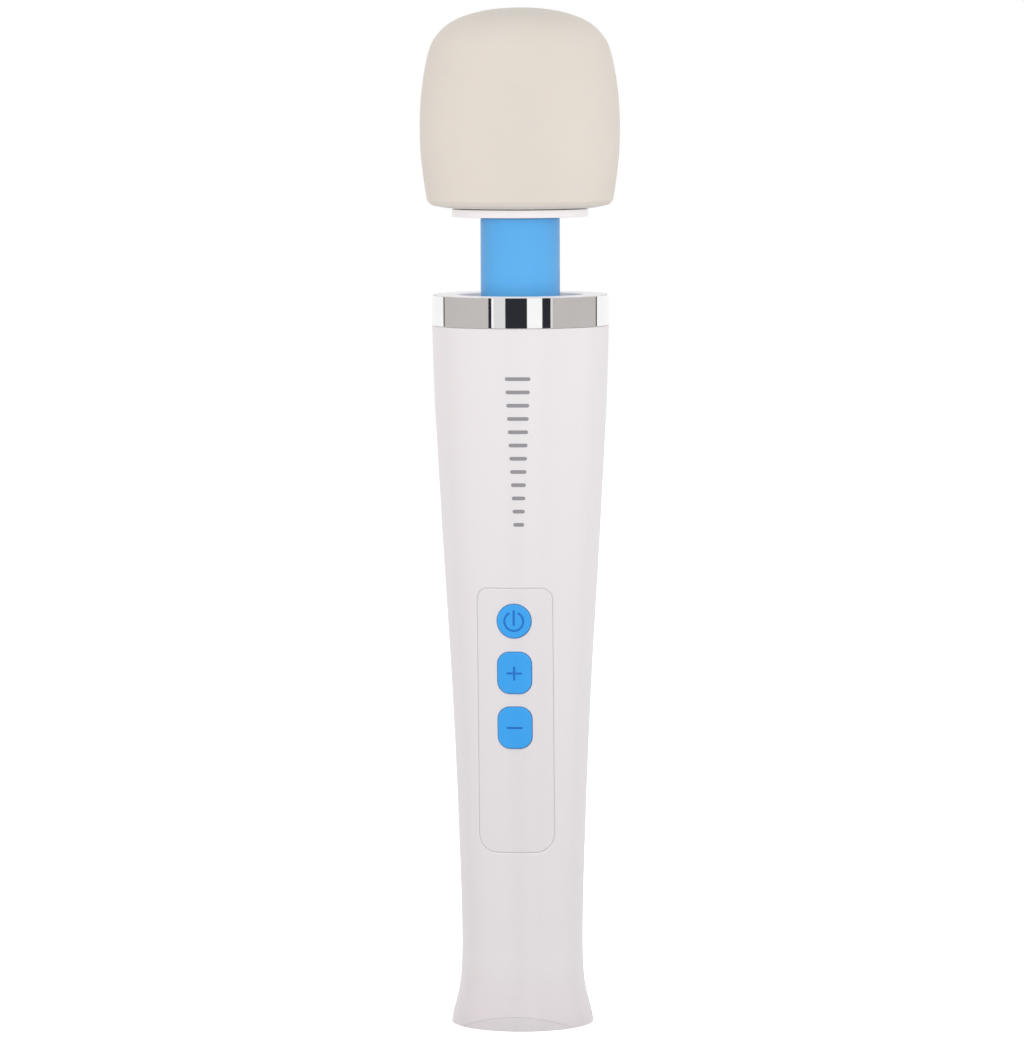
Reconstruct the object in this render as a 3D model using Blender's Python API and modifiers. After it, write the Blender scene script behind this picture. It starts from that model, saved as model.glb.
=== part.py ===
"""Handheld wand massager: a soft domed head on a flexible neck, a chrome collar and a tapered two-shell handle with three push buttons.

Frame: +Z runs up the handle's axis to the head, -Y is the front with the buttons, and the origin is the middle of the flat base.
Dimensions are millimetres, turned into Blender's metres by MM.
"""

import math

import bmesh
import bpy
from mathutils import Matrix, Vector

MM = 0.001

# ---------------------------------------------------------------- driving dimensions, mm
GAP = 0.3  # clearance left between neighbouring pieces
WALL = 2.2  # handle shell wall

# Handle: outer radius at heights above the base. The taper is nearly straight, then flares out at the foot.
HANDLE = [
    (-1.0, 22.7), (0.0, 22.5), (3.0, 22.0), (6.5, 21.1), (10.0, 20.25), (15.0, 19.5), (25.0, 19.1), (60.0, 19.95),
    (100.0, 21.6), (160.0, 25.1), (200.0, 27.15), (226.0, 27.9),
]
FOOT_Z = 0.4  # the shells stop this far above the table; the end cap carries the weight
SHELL_TOP = 220.65

RING_Z0, RING_Z1, RING_R, RING_BORE = 220.95, 230.1, 27.88, 25.5
CAP_TOP = 230.85
CAP_HOLE = 12.85
DISH_R = 19.2

NECK_R, NECK_BORE = 12.45, 10.7
NECK_Z0, NECK_Z1 = 223.1, 254.3
SPRING_R, SPRING_WIRE, SPRING_TURNS = 8.3, 0.75, 7
BEND_LOW, BEND_HIGH = 235.5, 248.5  # heights of the two bending axes of the neck

PLATE_R, PLATE_Z0, PLATE_Z1 = 21.4, 254.6, 256.9
HEAD_TOP = 320.0
HEAD_R = 31.35
# Head: a few radii and heights from the top of the dome down its side, joined by a smooth curve, then the foot over the plate.
CROWN = [
    (0.0, HEAD_TOP), (12.5, 318.8), (22.0, 315.2), (27.0, 310.0), (29.0, 304.5), (30.9, 293.0), (HEAD_R, 284.0), (31.2, 275.5),
    (30.0, 264.8),
]
HEAD_FOOT = [(29.1, 260.0), (28.4, 259.0), (26.0, 258.15), (20.3, 257.3)]
CORE_R = 20.0

MOTOR_R, MOTOR_Z0, MOTOR_Z1 = 17.8, 150.8, 206.0

PANEL_W, PANEL_Z0, PANEL_Z1 = 24.0, 56.2, 139.6
PANEL_R_TOP, PANEL_R_FOOT = 3.6, 5.6
PANEL_T = 1.15

BUTTON_W, BUTTON_H = 10.6, 13.0
BUTTON_CORNER = 3.8
BUTTON_PROUD = 0.5
BUTTONS = [("power", 129.4, 10.6), ("plus", 113.1, BUTTON_H), ("minus", 95.8, BUTTON_H)]

BOARD_Y0, BOARD_Y1 = -10.5, -8.9
BOARD_HALF_W, BOARD_Z0, BOARD_Z1 = 9.5, 58.0, 142.0

ARCH_W, ARCH_H = 34.0, 4.3  # arched notch in the foot of the front shell
POCKET_R, POCKET_DEPTH = 6.6, 7.0
INLET_R, INLET_BORE, INLET_Z1 = 5.2, 3.2, 19.0

SHELL_SCREWS = [(13.5, 143.0), (-13.5, 143.0), (10.5, 44.0), (-10.5, 44.0)]

# ---------------------------------------------------------------- scene set-up
for old in list(bpy.data.objects):
    bpy.data.objects.remove(old, do_unlink=True)


def collection(name):
    found = bpy.data.collections.get(name) or bpy.data.collections.new(name)
    if name not in bpy.context.scene.collection.children:
        bpy.context.scene.collection.children.link(found)
    return found


PARTS = collection("wand_massager")
CUTTERS = collection("cutters")


def material(name, colour, roughness, metallic=0.0):
    made = bpy.data.materials.get(name)
    if made is None:
        made = bpy.data.materials.new(name)
        made.use_nodes = True
        bsdf = made.node_tree.nodes["Principled BSDF"]
        bsdf.inputs["Base Color"].default_value = (*colour, 1.0)
        bsdf.inputs["Roughness"].default_value = roughness
        bsdf.inputs["Metallic"].default_value = metallic
    return made


WHITE = material("white_gloss_plastic", (0.84, 0.82, 0.83), 0.25)
HEAD_SKIN = material("ivory_silicone", (0.78, 0.73, 0.66), 0.6)
BLUE = material("blue_silicone", (0.13, 0.45, 0.86), 0.5)
BUTTON_BLUE = material("blue_button", (0.06, 0.37, 0.84), 0.4)
CHROME = material("chrome", (0.9, 0.9, 0.9), 0.04, 1.0)
STEEL = material("steel", (0.55, 0.56, 0.58), 0.3, 1.0)
BRASS = material("brass", (0.78, 0.6, 0.3), 0.3, 1.0)
BLACK = material("black_plastic", (0.03, 0.03, 0.035), 0.5)
GREEN = material("board_green", (0.03, 0.22, 0.1), 0.5)
COPPER = material("copper_winding", (0.62, 0.3, 0.15), 0.4, 1.0)
RED_WIRE = material("red_wire", (0.6, 0.04, 0.04), 0.45)
RUBBER = material("black_rubber", (0.05, 0.05, 0.05), 0.8)


# ---------------------------------------------------------------- modelling helpers
def handle_r(z):
    """Outer radius of the handle at height z: a smooth monotone curve through the stations."""
    pts = HANDLE
    n = len(pts)
    h = [pts[i + 1][0] - pts[i][0] for i in range(n - 1)]
    d = [(pts[i + 1][1] - pts[i][1]) / h[i] for i in range(n - 1)]
    m = [d[0]]
    for i in range(1, n - 1):
        if d[i - 1] * d[i] <= 0:
            m.append(0.0)
        else:
            a, b = 2 * h[i] + h[i - 1], h[i] + 2 * h[i - 1]
            m.append((a + b) / (a / d[i - 1] + b / d[i]))
    m.append(d[-1])
    z = min(max(z, pts[0][0]), pts[-1][0])
    i = max(k for k in range(n - 1) if pts[k][0] <= z)
    t = (z - pts[i][0]) / h[i]
    return (
        pts[i][1] * (2 * t**3 - 3 * t**2 + 1) + h[i] * m[i] * (t**3 - 2 * t**2 + t)
        + pts[i + 1][1] * (3 * t**2 - 2 * t**3) + h[i] * m[i + 1] * (t**3 - t**2)
    )


def place(obj, where, mat):
    where.objects.link(obj)
    if where is CUTTERS:
        obj.hide_render = True
        obj.display_type = "WIRE"
    if mat is not None:
        obj.data.materials.append(mat)
    return obj


def turned(name, profile, steps, mat=None, closed=True, where=PARTS, z0=0.0):
    """A profile of (radius, height), down its outer side first, turned about Z. Heights are above the base; z0 puts the origin."""
    verts = [(r * MM, 0.0, (z - z0) * MM) for r, z in profile]
    edges = [(i, i + 1) for i in range(len(verts) - 1)]
    if closed:
        edges.append((len(verts) - 1, 0))
    mesh = bpy.data.meshes.new(name)
    mesh.from_pydata(verts, edges, [])
    obj = place(bpy.data.objects.new(name, mesh), where, mat)
    obj.location = (0.0, 0.0, z0 * MM)
    screw = obj.modifiers.new("turn", "SCREW")
    screw.axis = "Z"
    screw.angle = math.tau
    screw.steps = screw.render_steps = steps
    screw.use_merge_vertices = True
    screw.merge_threshold = 1e-6
    screw.use_smooth_shade = True
    return obj


def mesh_object(name, bm, mat=None, where=PARTS):
    mesh = bpy.data.meshes.new(name)
    bm.to_mesh(mesh)
    bm.free()
    mesh.shade_smooth()
    mesh.set_sharp_from_angle(angle=math.radians(35))
    return place(bpy.data.objects.new(name, mesh), where, mat)


def rod(bm, start, end, radius, segments=16):
    """Adds a cylinder between two points, mm."""
    a, b = Vector(start) * MM, Vector(end) * MM
    turn = (b - a).to_track_quat("Z", "Y").to_matrix().to_4x4()
    bmesh.ops.create_cone(
        bm, cap_ends=True, cap_tris=False, segments=segments, radius1=radius * MM, radius2=radius * MM,
        depth=(b - a).length, matrix=Matrix.Translation((a + b) / 2) @ turn,
    )


def block(bm, low, high):
    """Adds a box between two corners, mm."""
    a, b = Vector(low) * MM, Vector(high) * MM
    size = b - a
    bmesh.ops.create_cube(
        bm, size=1.0, matrix=Matrix.Translation((a + b) / 2) @ Matrix.Diagonal((*size, 1.0))
    )


def rods(name, list_of, mat=None, where=PARTS, segments=16):
    bm = bmesh.new()
    for start, end, radius in list_of:
        rod(bm, start, end, radius, segments)
    return mesh_object(name, bm, mat, where)


def box(name, low, high, mat=None, where=PARTS):
    bm = bmesh.new()
    block(bm, low, high)
    return mesh_object(name, bm, mat, where)


def outline_prism(name, outline, y0, y1, mat=None, where=CUTTERS):
    """A flat outline of (x, z), extruded along Y from y0 to y1."""
    curve = bpy.data.curves.new(name + "_outline", "CURVE")
    curve.dimensions = "2D"
    curve.fill_mode = "BOTH"
    curve.extrude = abs(y1 - y0) / 2 * MM
    spline = curve.splines.new("POLY")
    spline.points.add(len(outline) - 1)
    for point, (x, z) in zip(spline.points, outline):
        point.co = (x * MM, z * MM, 0.0, 1.0)
    spline.use_cyclic_u = True
    guide = bpy.data.objects.new(name + "_outline", curve)
    guide.matrix_world = Matrix.Translation((0, (y0 + y1) / 2 * MM, 0)) @ Matrix.Rotation(math.pi / 2, 4, "X")
    bpy.context.scene.collection.objects.link(guide)
    bpy.context.view_layer.update()
    graph = bpy.context.evaluated_depsgraph_get()
    mesh = bpy.data.meshes.new_from_object(guide.evaluated_get(graph))
    bm = bmesh.new()
    bm.from_mesh(mesh)
    bmesh.ops.remove_doubles(bm, verts=bm.verts, dist=1e-6)
    bmesh.ops.recalc_face_normals(bm, faces=bm.faces)
    bm.to_mesh(mesh)
    bm.free()
    mesh.name = name
    mesh.materials.clear()
    made = bpy.data.objects.new(name, mesh)
    made.matrix_world = guide.matrix_world.copy()
    bpy.data.objects.remove(guide, do_unlink=True)
    return place(made, where, mat)


def rounded_rect(width, z_low, z_high, r_low, r_high, grow=0.0, per_corner=4):
    """Outline of an upright rounded rectangle centred on x = 0, counter-clockwise, grown by a margin."""
    w = width / 2 + grow
    z_low, z_high = z_low - grow, z_high + grow
    r_low, r_high = r_low + grow, r_high + grow
    pts = []
    for cx, cz, r, a0 in (
        (w - r_low, z_low + r_low, r_low, -90), (w - r_high, z_high - r_high, r_high, 0),
        (-w + r_high, z_high - r_high, r_high, 90), (-w + r_low, z_low + r_low, r_low, 180),
    ):
        for k in range(per_corner + 1):
            a = math.radians(a0 + 90 * k / per_corner)
            pts.append((cx + r * math.cos(a), cz + r * math.sin(a)))
    return pts


def circle_outline(z, radius, grow=0.0, count=24):
    return [
        ((radius + grow) * math.cos(math.tau * k / count), z + (radius + grow) * math.sin(math.tau * k / count))
        for k in range(count)
    ]


def boolean(obj, other, how="DIFFERENCE"):
    mod = obj.modifiers.new(how.lower() + "_" + other.name, "BOOLEAN")
    mod.operation = how
    mod.solver = "EXACT"
    mod.object = other
    return obj


def wire(name, points, radius, mat, resolution=1):
    """A tube along a smooth curve through the route's own points, mm."""
    route = []
    ext = [points[0]] + points + [points[-1]]
    for i in range(1, len(ext) - 2):
        p0, p1, p2, p3 = (Vector(ext[k]) for k in (i - 1, i, i + 1, i + 2))
        for s in range(3):
            t = s / 3
            route.append(
                0.5 * ((2 * p1) + (p2 - p0) * t + (2 * p0 - 5 * p1 + 4 * p2 - p3) * t * t
                       + (3 * p1 - p0 - 3 * p2 + p3) * t**3)
            )
    route.append(Vector(points[-1]))
    return tube(name, route, radius, mat, resolution)


def tube(name, route, radius, mat, resolution=2):
    curve = bpy.data.curves.new(name, "CURVE")
    curve.dimensions = "3D"
    curve.bevel_depth = radius * MM
    curve.bevel_resolution = resolution
    curve.use_fill_caps = True
    spline = curve.splines.new("POLY")
    spline.points.add(len(route) - 1)
    for point, p in zip(spline.points, route):
        point.co = (p[0] * MM, p[1] * MM, p[2] * MM, 1.0)
    return place(bpy.data.objects.new(name, curve), PARTS, mat)


def pivot(name, location):
    empty = bpy.data.objects.new(name, None)
    empty.location = Vector(location) * MM
    empty.empty_display_size = 0.01
    PARTS.objects.link(empty)
    return empty


def hang(parent, *children):
    """Parents pieces to a pivot and leaves them where they are."""
    bpy.context.view_layer.update()
    for child in children:
        child.parent = parent
        child.matrix_parent_inverse = parent.matrix_world.inverted()


# ---------------------------------------------------------------- handle shells
def band(z_low, z_high, count, grow_out, grow_in, extra=()):
    """Closed profile of a wall that follows the handle: outside grown by grow_out, inside by grow_in."""
    heights = sorted({z_low, z_high, *[z for z in OUTER_ROWS if z_low < z < z_high], *extra}, reverse=True)
    if count:
        heights = [z_high + (z_low - z_high) * k / count for k in range(count + 1)]
    outer = [(handle_r(z) + grow_out, z) for z in heights]
    inner = [(handle_r(z) + grow_in, z) for z in reversed(heights)]
    return outer + inner


OUTER_ROWS = [SHELL_TOP, 214.0, 205.0, 180.0, 150.0, 118.0, 86.0, 58.0, 38.0, 27.0, 20.0, 14.0, 9.5, 6.0, 3.0, FOOT_Z]
INNER_ROWS = [FOOT_Z, 6.0, 13.0, 22.0, 58.0, 118.0, 180.0, 209.0, SHELL_TOP]
shell_profile = [(handle_r(z), z) for z in OUTER_ROWS] + [(handle_r(z) - WALL, z) for z in INNER_ROWS]
half_front = box("half_front", (-40, -40, -5), (40, -GAP / 2, 240), where=CUTTERS)
half_rear = box("half_rear", (-40, GAP / 2, -5), (40, 40, 240), where=CUTTERS)
core_profile = [(0, 219.0)] + [
    (handle_r(z) - 1.0, z) for z in (219, 189, 161, 132, 104, 75, 47, 27, 14, 6)
] + [(0, 6.0)]
handle_core = turned("handle_core", core_profile, 32, closed=False, where=CUTTERS)

front_shell = turned("front_shell", shell_profile, 40, WHITE)
boolean(front_shell, half_front, "INTERSECT")
front_bosses = rods(
    "front_bosses",
    [((x, -30, z), (x, -0.4, z), 2.9) for x, z in SHELL_SCREWS]
    + [((0, -30, z), (0, BOARD_Y0 - GAP, z), 2.0) for z in (BOARD_Z0 + 4, BOARD_Z1 - 3)],
    where=CUTTERS, segments=10,
)
boolean(front_bosses, handle_core, "INTERSECT")
boolean(front_shell, front_bosses, "UNION")
boolean(front_shell, rods(
    "front_boss_holes",
    [((x, 1, z), (x, -10, z), 1.35) for x, z in SHELL_SCREWS]
    + [((0, BOARD_Y0 + 1, z), (0, -15, z), 1.2) for z in (BOARD_Z0 + 4, BOARD_Z1 - 3)],
    where=CUTTERS, segments=8,
))
panel_band = turned("panel_pocket", band(PANEL_Z0 - 4, PANEL_Z1 + 4, 4, 1.0, -PANEL_T - 0.35), 40, where=CUTTERS)
boolean(panel_band, outline_prism(
    "panel_prism_wide",
    rounded_rect(PANEL_W, PANEL_Z0, PANEL_Z1, PANEL_R_FOOT, PANEL_R_TOP, grow=GAP), -40, -8,
), "INTERSECT")
boolean(front_shell, panel_band)
hole_bm = bmesh.new()
for key, z, height in BUTTONS:
    ring = (
        circle_outline(z, BUTTON_W / 2, GAP) if key == "power"
        else rounded_rect(BUTTON_W, z - height / 2, z + height / 2, BUTTON_CORNER, BUTTON_CORNER, grow=GAP)
    )
    hole = outline_prism(key + "_hole", ring, -40, -12)
    copied = bpy.data.meshes.new_from_object(hole)
    copied.transform(hole.matrix_world)
    hole_bm.from_mesh(copied)
    bpy.data.objects.remove(hole, do_unlink=True)
button_holes = mesh_object("button_holes", hole_bm, where=CUTTERS)
boolean(front_shell, button_holes)


def arch_outline(width, height, count=10, low=-3.0):
    """A flat arch of this width and height at the foot, closed below it."""
    radius = (width**2 / 4 + height**2) / (2 * height)
    half = math.asin(width / 2 / radius)
    top = [
        (radius * math.sin(a), FOOT_Z + height - radius + radius * math.cos(a))
        for a in (half - 2 * half * k / count for k in range(count + 1))
    ]
    return [(width / 2, low)] + top + [(-width / 2, low)]


boolean(front_shell, outline_prism("arch_cut", arch_outline(ARCH_W, ARCH_H), -30, -8))

rear_shell = turned("rear_shell", shell_profile, 40, WHITE)
boolean(rear_shell, half_rear, "INTERSECT")
rear_bosses = rods(
    "rear_bosses", [((x, 0.4, z), (x, 30, z), 3.9) for x, z in SHELL_SCREWS], where=CUTTERS, segments=10
)
boolean(rear_bosses, handle_core, "INTERSECT")
boolean(rear_shell, rear_bosses, "UNION")
boolean(rear_shell, rods(
    "rear_screw_holes", [((x, -1, z), (x, 12, z), 1.4) for x, z in SHELL_SCREWS], where=CUTTERS, segments=8
))
boolean(rear_shell, rods(
    "rear_counterbores", [((x, 7.0, z), (x, 40, z), 2.7) for x, z in SHELL_SCREWS], where=CUTTERS, segments=12
))


def screw(name, head, tip, head_r, head_h, shank_r, mat=STEEL, segments=8):
    """A pan-head screw: its head's seat is at head, and its point at tip."""
    a, b = Vector(head), Vector(tip)
    back = (a - b).normalized()
    obj = rods(name, [(a + back * head_h, a, head_r)], mat, segments=10)
    obj.location = (0, 0, 0)
    shank = rods(name + "_shank", [(a + back * 0.3, b, shank_r)], where=CUTTERS, segments=segments)
    return boolean(obj, shank, "UNION")


for number, (x, z) in enumerate(SHELL_SCREWS, 1):
    screw(f"shell_screw_{number}", (x, 7.0 + GAP, z), (x, -8.5, z), 2.3, 1.7, 1.05)

# ---------------------------------------------------------------- button panel and buttons
button_panel = turned("button_panel", band(PANEL_Z0 - 4, PANEL_Z1 + 4, 4, -0.05, -PANEL_T), 40, WHITE)
boolean(button_panel, outline_prism(
    "panel_prism", rounded_rect(PANEL_W, PANEL_Z0, PANEL_Z1, PANEL_R_FOOT, PANEL_R_TOP), -40, -8
), "INTERSECT")
boolean(button_panel, button_holes)

proud = turned(
    "button_crown",
    [(0, 146.0)] + [(handle_r(z) + BUTTON_PROUD, z) for z in (146, 133, 119, 105, 91, 77)] + [(0, 77.0)],
    60, closed=False, where=CUTTERS,
)
SWITCH_FRONT = BOARD_Y0 - GAP - 3.3
for key, z, height in BUTTONS:
    lowest_inner = handle_r(z - height / 2 - 1.6) - WALL
    flange_y = -(math.sqrt(lowest_inner**2 - 7.0**2) - 0.45)
    if key == "power":
        face, flange = circle_outline(z, BUTTON_W / 2), circle_outline(z, BUTTON_W / 2 + 1.3, count=24)
    else:
        face = rounded_rect(BUTTON_W, z - height / 2, z + height / 2, BUTTON_CORNER, BUTTON_CORNER)
        flange = rounded_rect(
            BUTTON_W, z - height / 2, z + height / 2, BUTTON_CORNER, BUTTON_CORNER, grow=1.3, per_corner=4
        )
    button = outline_prism(key + "_button", face, -40, flange_y + 0.5, BUTTON_BLUE, PARTS)
    boolean(button, proud, "INTERSECT")
    boolean(button, outline_prism(key + "_flange", flange, flange_y, flange_y + 0.9), "UNION")
    boolean(button, rods(
        key + "_stem", [((0, flange_y + 0.5, z), (0, SWITCH_FRONT - 0.8 - GAP, z), 1.8)], where=CUTTERS, segments=12
    ), "UNION")
    switch = box(key + "_switch", (-3.1, SWITCH_FRONT, z - 3.1), (3.1, BOARD_Y0 - GAP, z + 3.1), BLACK)
    boolean(switch, rods(
        key + "_switch_bore", [((0, SWITCH_FRONT - 1, z), (0, SWITCH_FRONT + 2.0, z), 1.9)], where=CUTTERS, segments=12
    ))
    rods(key + "_plunger", [((0, SWITCH_FRONT - 0.8, z), (0, SWITCH_FRONT + 1.1, z), 1.5)], BLACK, segments=12)

control_board = box(
    "control_board", (-BOARD_HALF_W, BOARD_Y0, BOARD_Z0), (BOARD_HALF_W, BOARD_Y1, BOARD_Z1), GREEN
)
boolean(control_board, rods(
    "board_holes", [((0, BOARD_Y0 - 1, z), (0, BOARD_Y1 + 1, z), 1.3) for z in (BOARD_Z0 + 4, BOARD_Z1 - 3)],
    where=CUTTERS, segments=10,
))
for number, z in enumerate((BOARD_Z0 + 4, BOARD_Z1 - 3), 1):
    screw(f"board_screw_{number}", (0, BOARD_Y1 + GAP, z), (0, -14.0, z), 2.1, 1.3, 0.9)

# ---------------------------------------------------------------- end cap and power inlet
end_cap = turned("end_cap", [
    (18.3, 6.2), (18.75, 4.2), (19.2, 2.6), (19.7, 0.0), (POCKET_R, 0.0), (POCKET_R, POCKET_DEPTH),
    (INLET_R + GAP, POCKET_DEPTH), (INLET_R + GAP, 16.0), (8.3, 16.0), (8.3, 2.6), (16.8, 2.6), (16.8, 6.2),
], 30, WHITE)
tongue = turned("tongue_band", [
    (handle_r(5.3) - GAP, 5.3), (handle_r(2.6) - GAP, 2.6), (22.0, 0.0), (17.6, 0.0), (17.6, 5.3),
], 48, where=CUTTERS)
boolean(tongue, outline_prism(
    "tongue_prism", [(x, max(z - GAP, 0.0)) for x, z in arch_outline(ARCH_W - 0.8, ARCH_H, low=0.0)], -30, -8
), "INTERSECT")
boolean(end_cap, tongue, "UNION")

turned("power_inlet", [
    (0, INLET_Z1), (INLET_R, INLET_Z1), (INLET_R, POCKET_DEPTH + GAP), (INLET_BORE, POCKET_DEPTH + GAP),
    (INLET_BORE, 17.4), (0, 17.4),
], 20, BLACK, closed=False)
turned("inlet_pin", [(0, 17.1), (2.0, 17.1), (2.0, 16.2), (1.0, 16.2), (1.0, 9.7), (0.6, 9.2), (0, 9.2)], 10, STEEL, closed=False)

# ---------------------------------------------------------------- collar: chrome ring and top cap
turned("chrome_ring", [
    (RING_R - 0.3, RING_Z1), (RING_R, RING_Z1 - 0.3), (RING_R, RING_Z0 + 0.3), (RING_R - 0.3, RING_Z0),
    (RING_BORE, RING_Z0), (RING_BORE, RING_Z1),
], 44, CHROME)
top_cap = turned("top_cap", [
    (27.1, CAP_TOP), (27.4, CAP_TOP - 0.15), (27.4, RING_Z1 + GAP), (25.1, RING_Z1 + GAP), (25.1, 215.0),
    (23.1, 215.0), (23.1, 226.0), (CAP_HOLE, 226.0), (CAP_HOLE, 228.3), (DISH_R - 0.6, 228.9), (DISH_R, CAP_TOP - 0.3),
    (DISH_R + 0.4, CAP_TOP),
], 32, WHITE)
MOUNT_BOLTS = [(19.5 * math.cos(math.radians(a)), 19.5 * math.sin(math.radians(a))) for a in (90, 210, 330)]
boolean(top_cap, rods(
    "top_cap_bosses", [((x, y, 223.1), (x, y, 226.5), 2.5) for x, y in MOUNT_BOLTS], where=CUTTERS, segments=12
), "UNION")
boolean(top_cap, rods(
    "top_cap_boss_holes", [((x, y, 221.5), (x, y, 227.9), 1.25) for x, y in MOUNT_BOLTS], where=CUTTERS, segments=10
))

# ---------------------------------------------------------------- neck
neck_mount = turned("neck_mount", [
    (10.4, 227.5), (10.4, 222.8), (22.7, 222.8), (22.7, 219.0), (6.4, 219.0), (6.4, 221.0), (9.4, 221.0), (9.4, 227.5),
], 24, BLACK)
boolean(neck_mount, rods(
    "neck_mount_holes", [((x, y, 217.5), (x, y, 224.5), 1.5) for x, y in MOUNT_BOLTS], where=CUTTERS, segments=10
))
for number, (x, y) in enumerate(MOUNT_BOLTS, 1):
    screw(f"neck_screw_{number}", (x, y, 219.0 - GAP), (x, y, 227.1), 2.3, 1.6, 1.0)

neck_sleeve = turned("neck_sleeve", [
    (NECK_R, NECK_Z1), (NECK_R, 247.5), (NECK_R, 240.0), (NECK_R, 232.5), (NECK_R, 225.7),
    (16.0, 225.7), (16.0, NECK_Z0), (NECK_BORE, NECK_Z0), (NECK_BORE, NECK_Z1),
], 36, BLUE)

spring_route = []
steps = SPRING_TURNS * 10
for k in range(steps + 1):
    a = math.tau * k / 10
    z = 222.15 + (259.7 - 222.15) * k / steps
    spring_route.append((SPRING_R * math.cos(a), SPRING_R * math.sin(a), z))
neck_spring = tube("neck_spring", spring_route, SPRING_WIRE, STEEL, 0)

# ---------------------------------------------------------------- motor and drive
motor_can = turned("motor_can", [
    (0.0 + 6.5, 208.4), (6.5, MOTOR_Z1), (MOTOR_R - 1.0, MOTOR_Z1), (MOTOR_R, MOTOR_Z1 - 1.0), (MOTOR_R, MOTOR_Z0),
    (16.6, MOTOR_Z0), (16.6, MOTOR_Z1 - 1.6), (1.9, MOTOR_Z1 - 1.6), (1.9, 208.4),
], 24, STEEL)
boolean(motor_can, rods(
    "can_holes", [((x, 0, 203.5), (x, 0, 207), 1.5) for x in (12.5, -12.5)], where=CUTTERS, segments=10
))
turned("motor_end_bell", [
    (0, 149.6), (1.9, 149.6), (1.9, 154.0), (16.3, 154.0), (16.3, 150.5), (MOTOR_R, 150.5), (MOTOR_R, 148.2), (0, 148.2),
], 24, BLACK, closed=False)
motor_rotor = turned("motor_rotor", [
    (0, 217.2), (1.6, 217.2), (1.6, 196.0), (10.5, 195.0), (10.5, 160.0), (4.5, 159.0), (4.5, 155.5), (1.6, 155.2),
    (1.6, 150.0), (0, 150.0),
], 20, COPPER, closed=False)
for number, turn in enumerate((-70, 110), 1):
    verts = [(16.2 * MM, 0, 198 * MM), (16.2 * MM, 0, 160 * MM)]
    mesh = bpy.data.meshes.new(f"motor_magnet_{number}")
    mesh.from_pydata(verts, [(0, 1)], [])
    magnet = place(bpy.data.objects.new(f"motor_magnet_{number}", mesh), PARTS, BLACK)
    magnet.rotation_euler = (0, 0, math.radians(turn))
    sweep = magnet.modifiers.new("turn", "SCREW")
    sweep.angle = math.radians(140)
    sweep.steps = sweep.render_steps = 10
    sweep.use_merge_vertices = False
    thick = magnet.modifiers.new("thick", "SOLIDIFY")
    thick.thickness = 4.4 * MM
    thick.offset = -1.0
motor_mount = turned("motor_mount", [(24.7, 209.3), (24.7, 206.3), (6.9, 206.3), (6.9, 209.3)], 30, BLACK)
boolean(motor_mount, rods(
    "motor_mount_holes", [((x, 0, 205), (x, 0, 211), 1.5) for x in (12.5, -12.5)], where=CUTTERS, segments=10
))
for number, x in enumerate((12.5, -12.5), 1):
    screw(f"motor_screw_{number}", (x, 0, 209.3 + GAP), (x, 0, 204.9), 2.6, 1.7, 1.2)
turned("motor_isolator", [(22.1, 162.0), (21.9, 153.0), (18.1, 153.0), (18.1, 162.0)], 24, RUBBER)
motor_coupler = turned("motor_coupler", [(5.0, 222.0), (5.0, 211.5), (2.3, 211.5), (2.3, 222.0)], 16, STEEL)
flex_shaft = turned("flex_shaft", [(0, 256.0), (2.0, 256.0), (2.0, 236.8), (2.0, 217.5), (0, 217.5)], 12, STEEL, closed=False)

# ---------------------------------------------------------------- head
head_plate = turned("head_plate", [
    (PLATE_R, PLATE_Z1), (PLATE_R, PLATE_Z0 + 0.5), (PLATE_R - 0.5, PLATE_Z0), (9.4, PLATE_Z0), (9.4, PLATE_Z1),
], 36, WHITE)
PLATE_BOLTS = [(15.0 * math.cos(math.radians(a)), 15.0 * math.sin(math.radians(a))) for a in (90, 210, 330)]
boolean(head_plate, rods(
    "plate_screw_holes", [((x, y, 253), (x, y, 258), 1.3) for x, y in PLATE_BOLTS], where=CUTTERS, segments=10
))
boolean(head_plate, rods(
    "plate_counterbores", [((x, y, 253), (x, y, 255.8), 2.4) for x, y in PLATE_BOLTS], where=CUTTERS, segments=12
))
core_base = turned("core_base", [
    (CORE_R, 284.0), (CORE_R, 257.2), (9.4, 257.2), (9.4, 260.9), (5.2, 260.9), (5.2, 262.0), (8.3, 262.0), (8.3, 267.4),
    (10.8, 267.4), (10.8, 263.4), (17.4, 263.4), (17.4, 284.0),
], 24, WHITE)
boolean(core_base, rods(
    "core_screw_holes", [((x, y, 256), (x, y, 262.2), 1.15) for x, y in PLATE_BOLTS], where=CUTTERS, segments=10
))
for number, (x, y) in enumerate(PLATE_BOLTS, 1):
    screw(f"plate_screw_{number}", (x, y, 255.8 - GAP), (x, y, 261.5), 2.0, 0.85, 0.85)
core_cap = turned("core_cap", [
    (0, 302.0), (11.0, 301.0), (17.0, 297.5), (CORE_R, 291.0), (CORE_R, 284.3), (17.4, 284.3), (17.4, 293.0),
    (10.8, 295.5), (10.8, 292.5), (8.3, 292.5), (8.3, 297.8), (0, 297.8),
], 24, WHITE, closed=False)
turned("lower_bearing", [(8.0, 267.2), (8.0, 262.3), (2.75, 262.3), (2.75, 267.2)], 16, STEEL)
turned("upper_bearing", [(8.0, 297.5), (8.0, 292.7), (2.75, 292.7), (2.75, 297.5)], 16, STEEL)
eccentric_shaft = turned("eccentric_shaft", [(0, 297.4), (2.5, 297.4), (2.5, 256.4), (0, 256.4)], 12, STEEL, closed=False)
head_coupler = turned("head_coupler", [(4.2, 260.5), (4.2, 252.6), (2.8, 252.6), (2.8, 260.5)], 16, STEEL)
eccentric_weight = turned("eccentric_weight", [(14.2, 288.0), (14.2, 269.5), (2.8, 269.5), (2.8, 288.0)], 28, BRASS)
spare = box("weight_relief", (-20, 0.01, 260), (20, 20, 295), where=CUTTERS)
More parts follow.
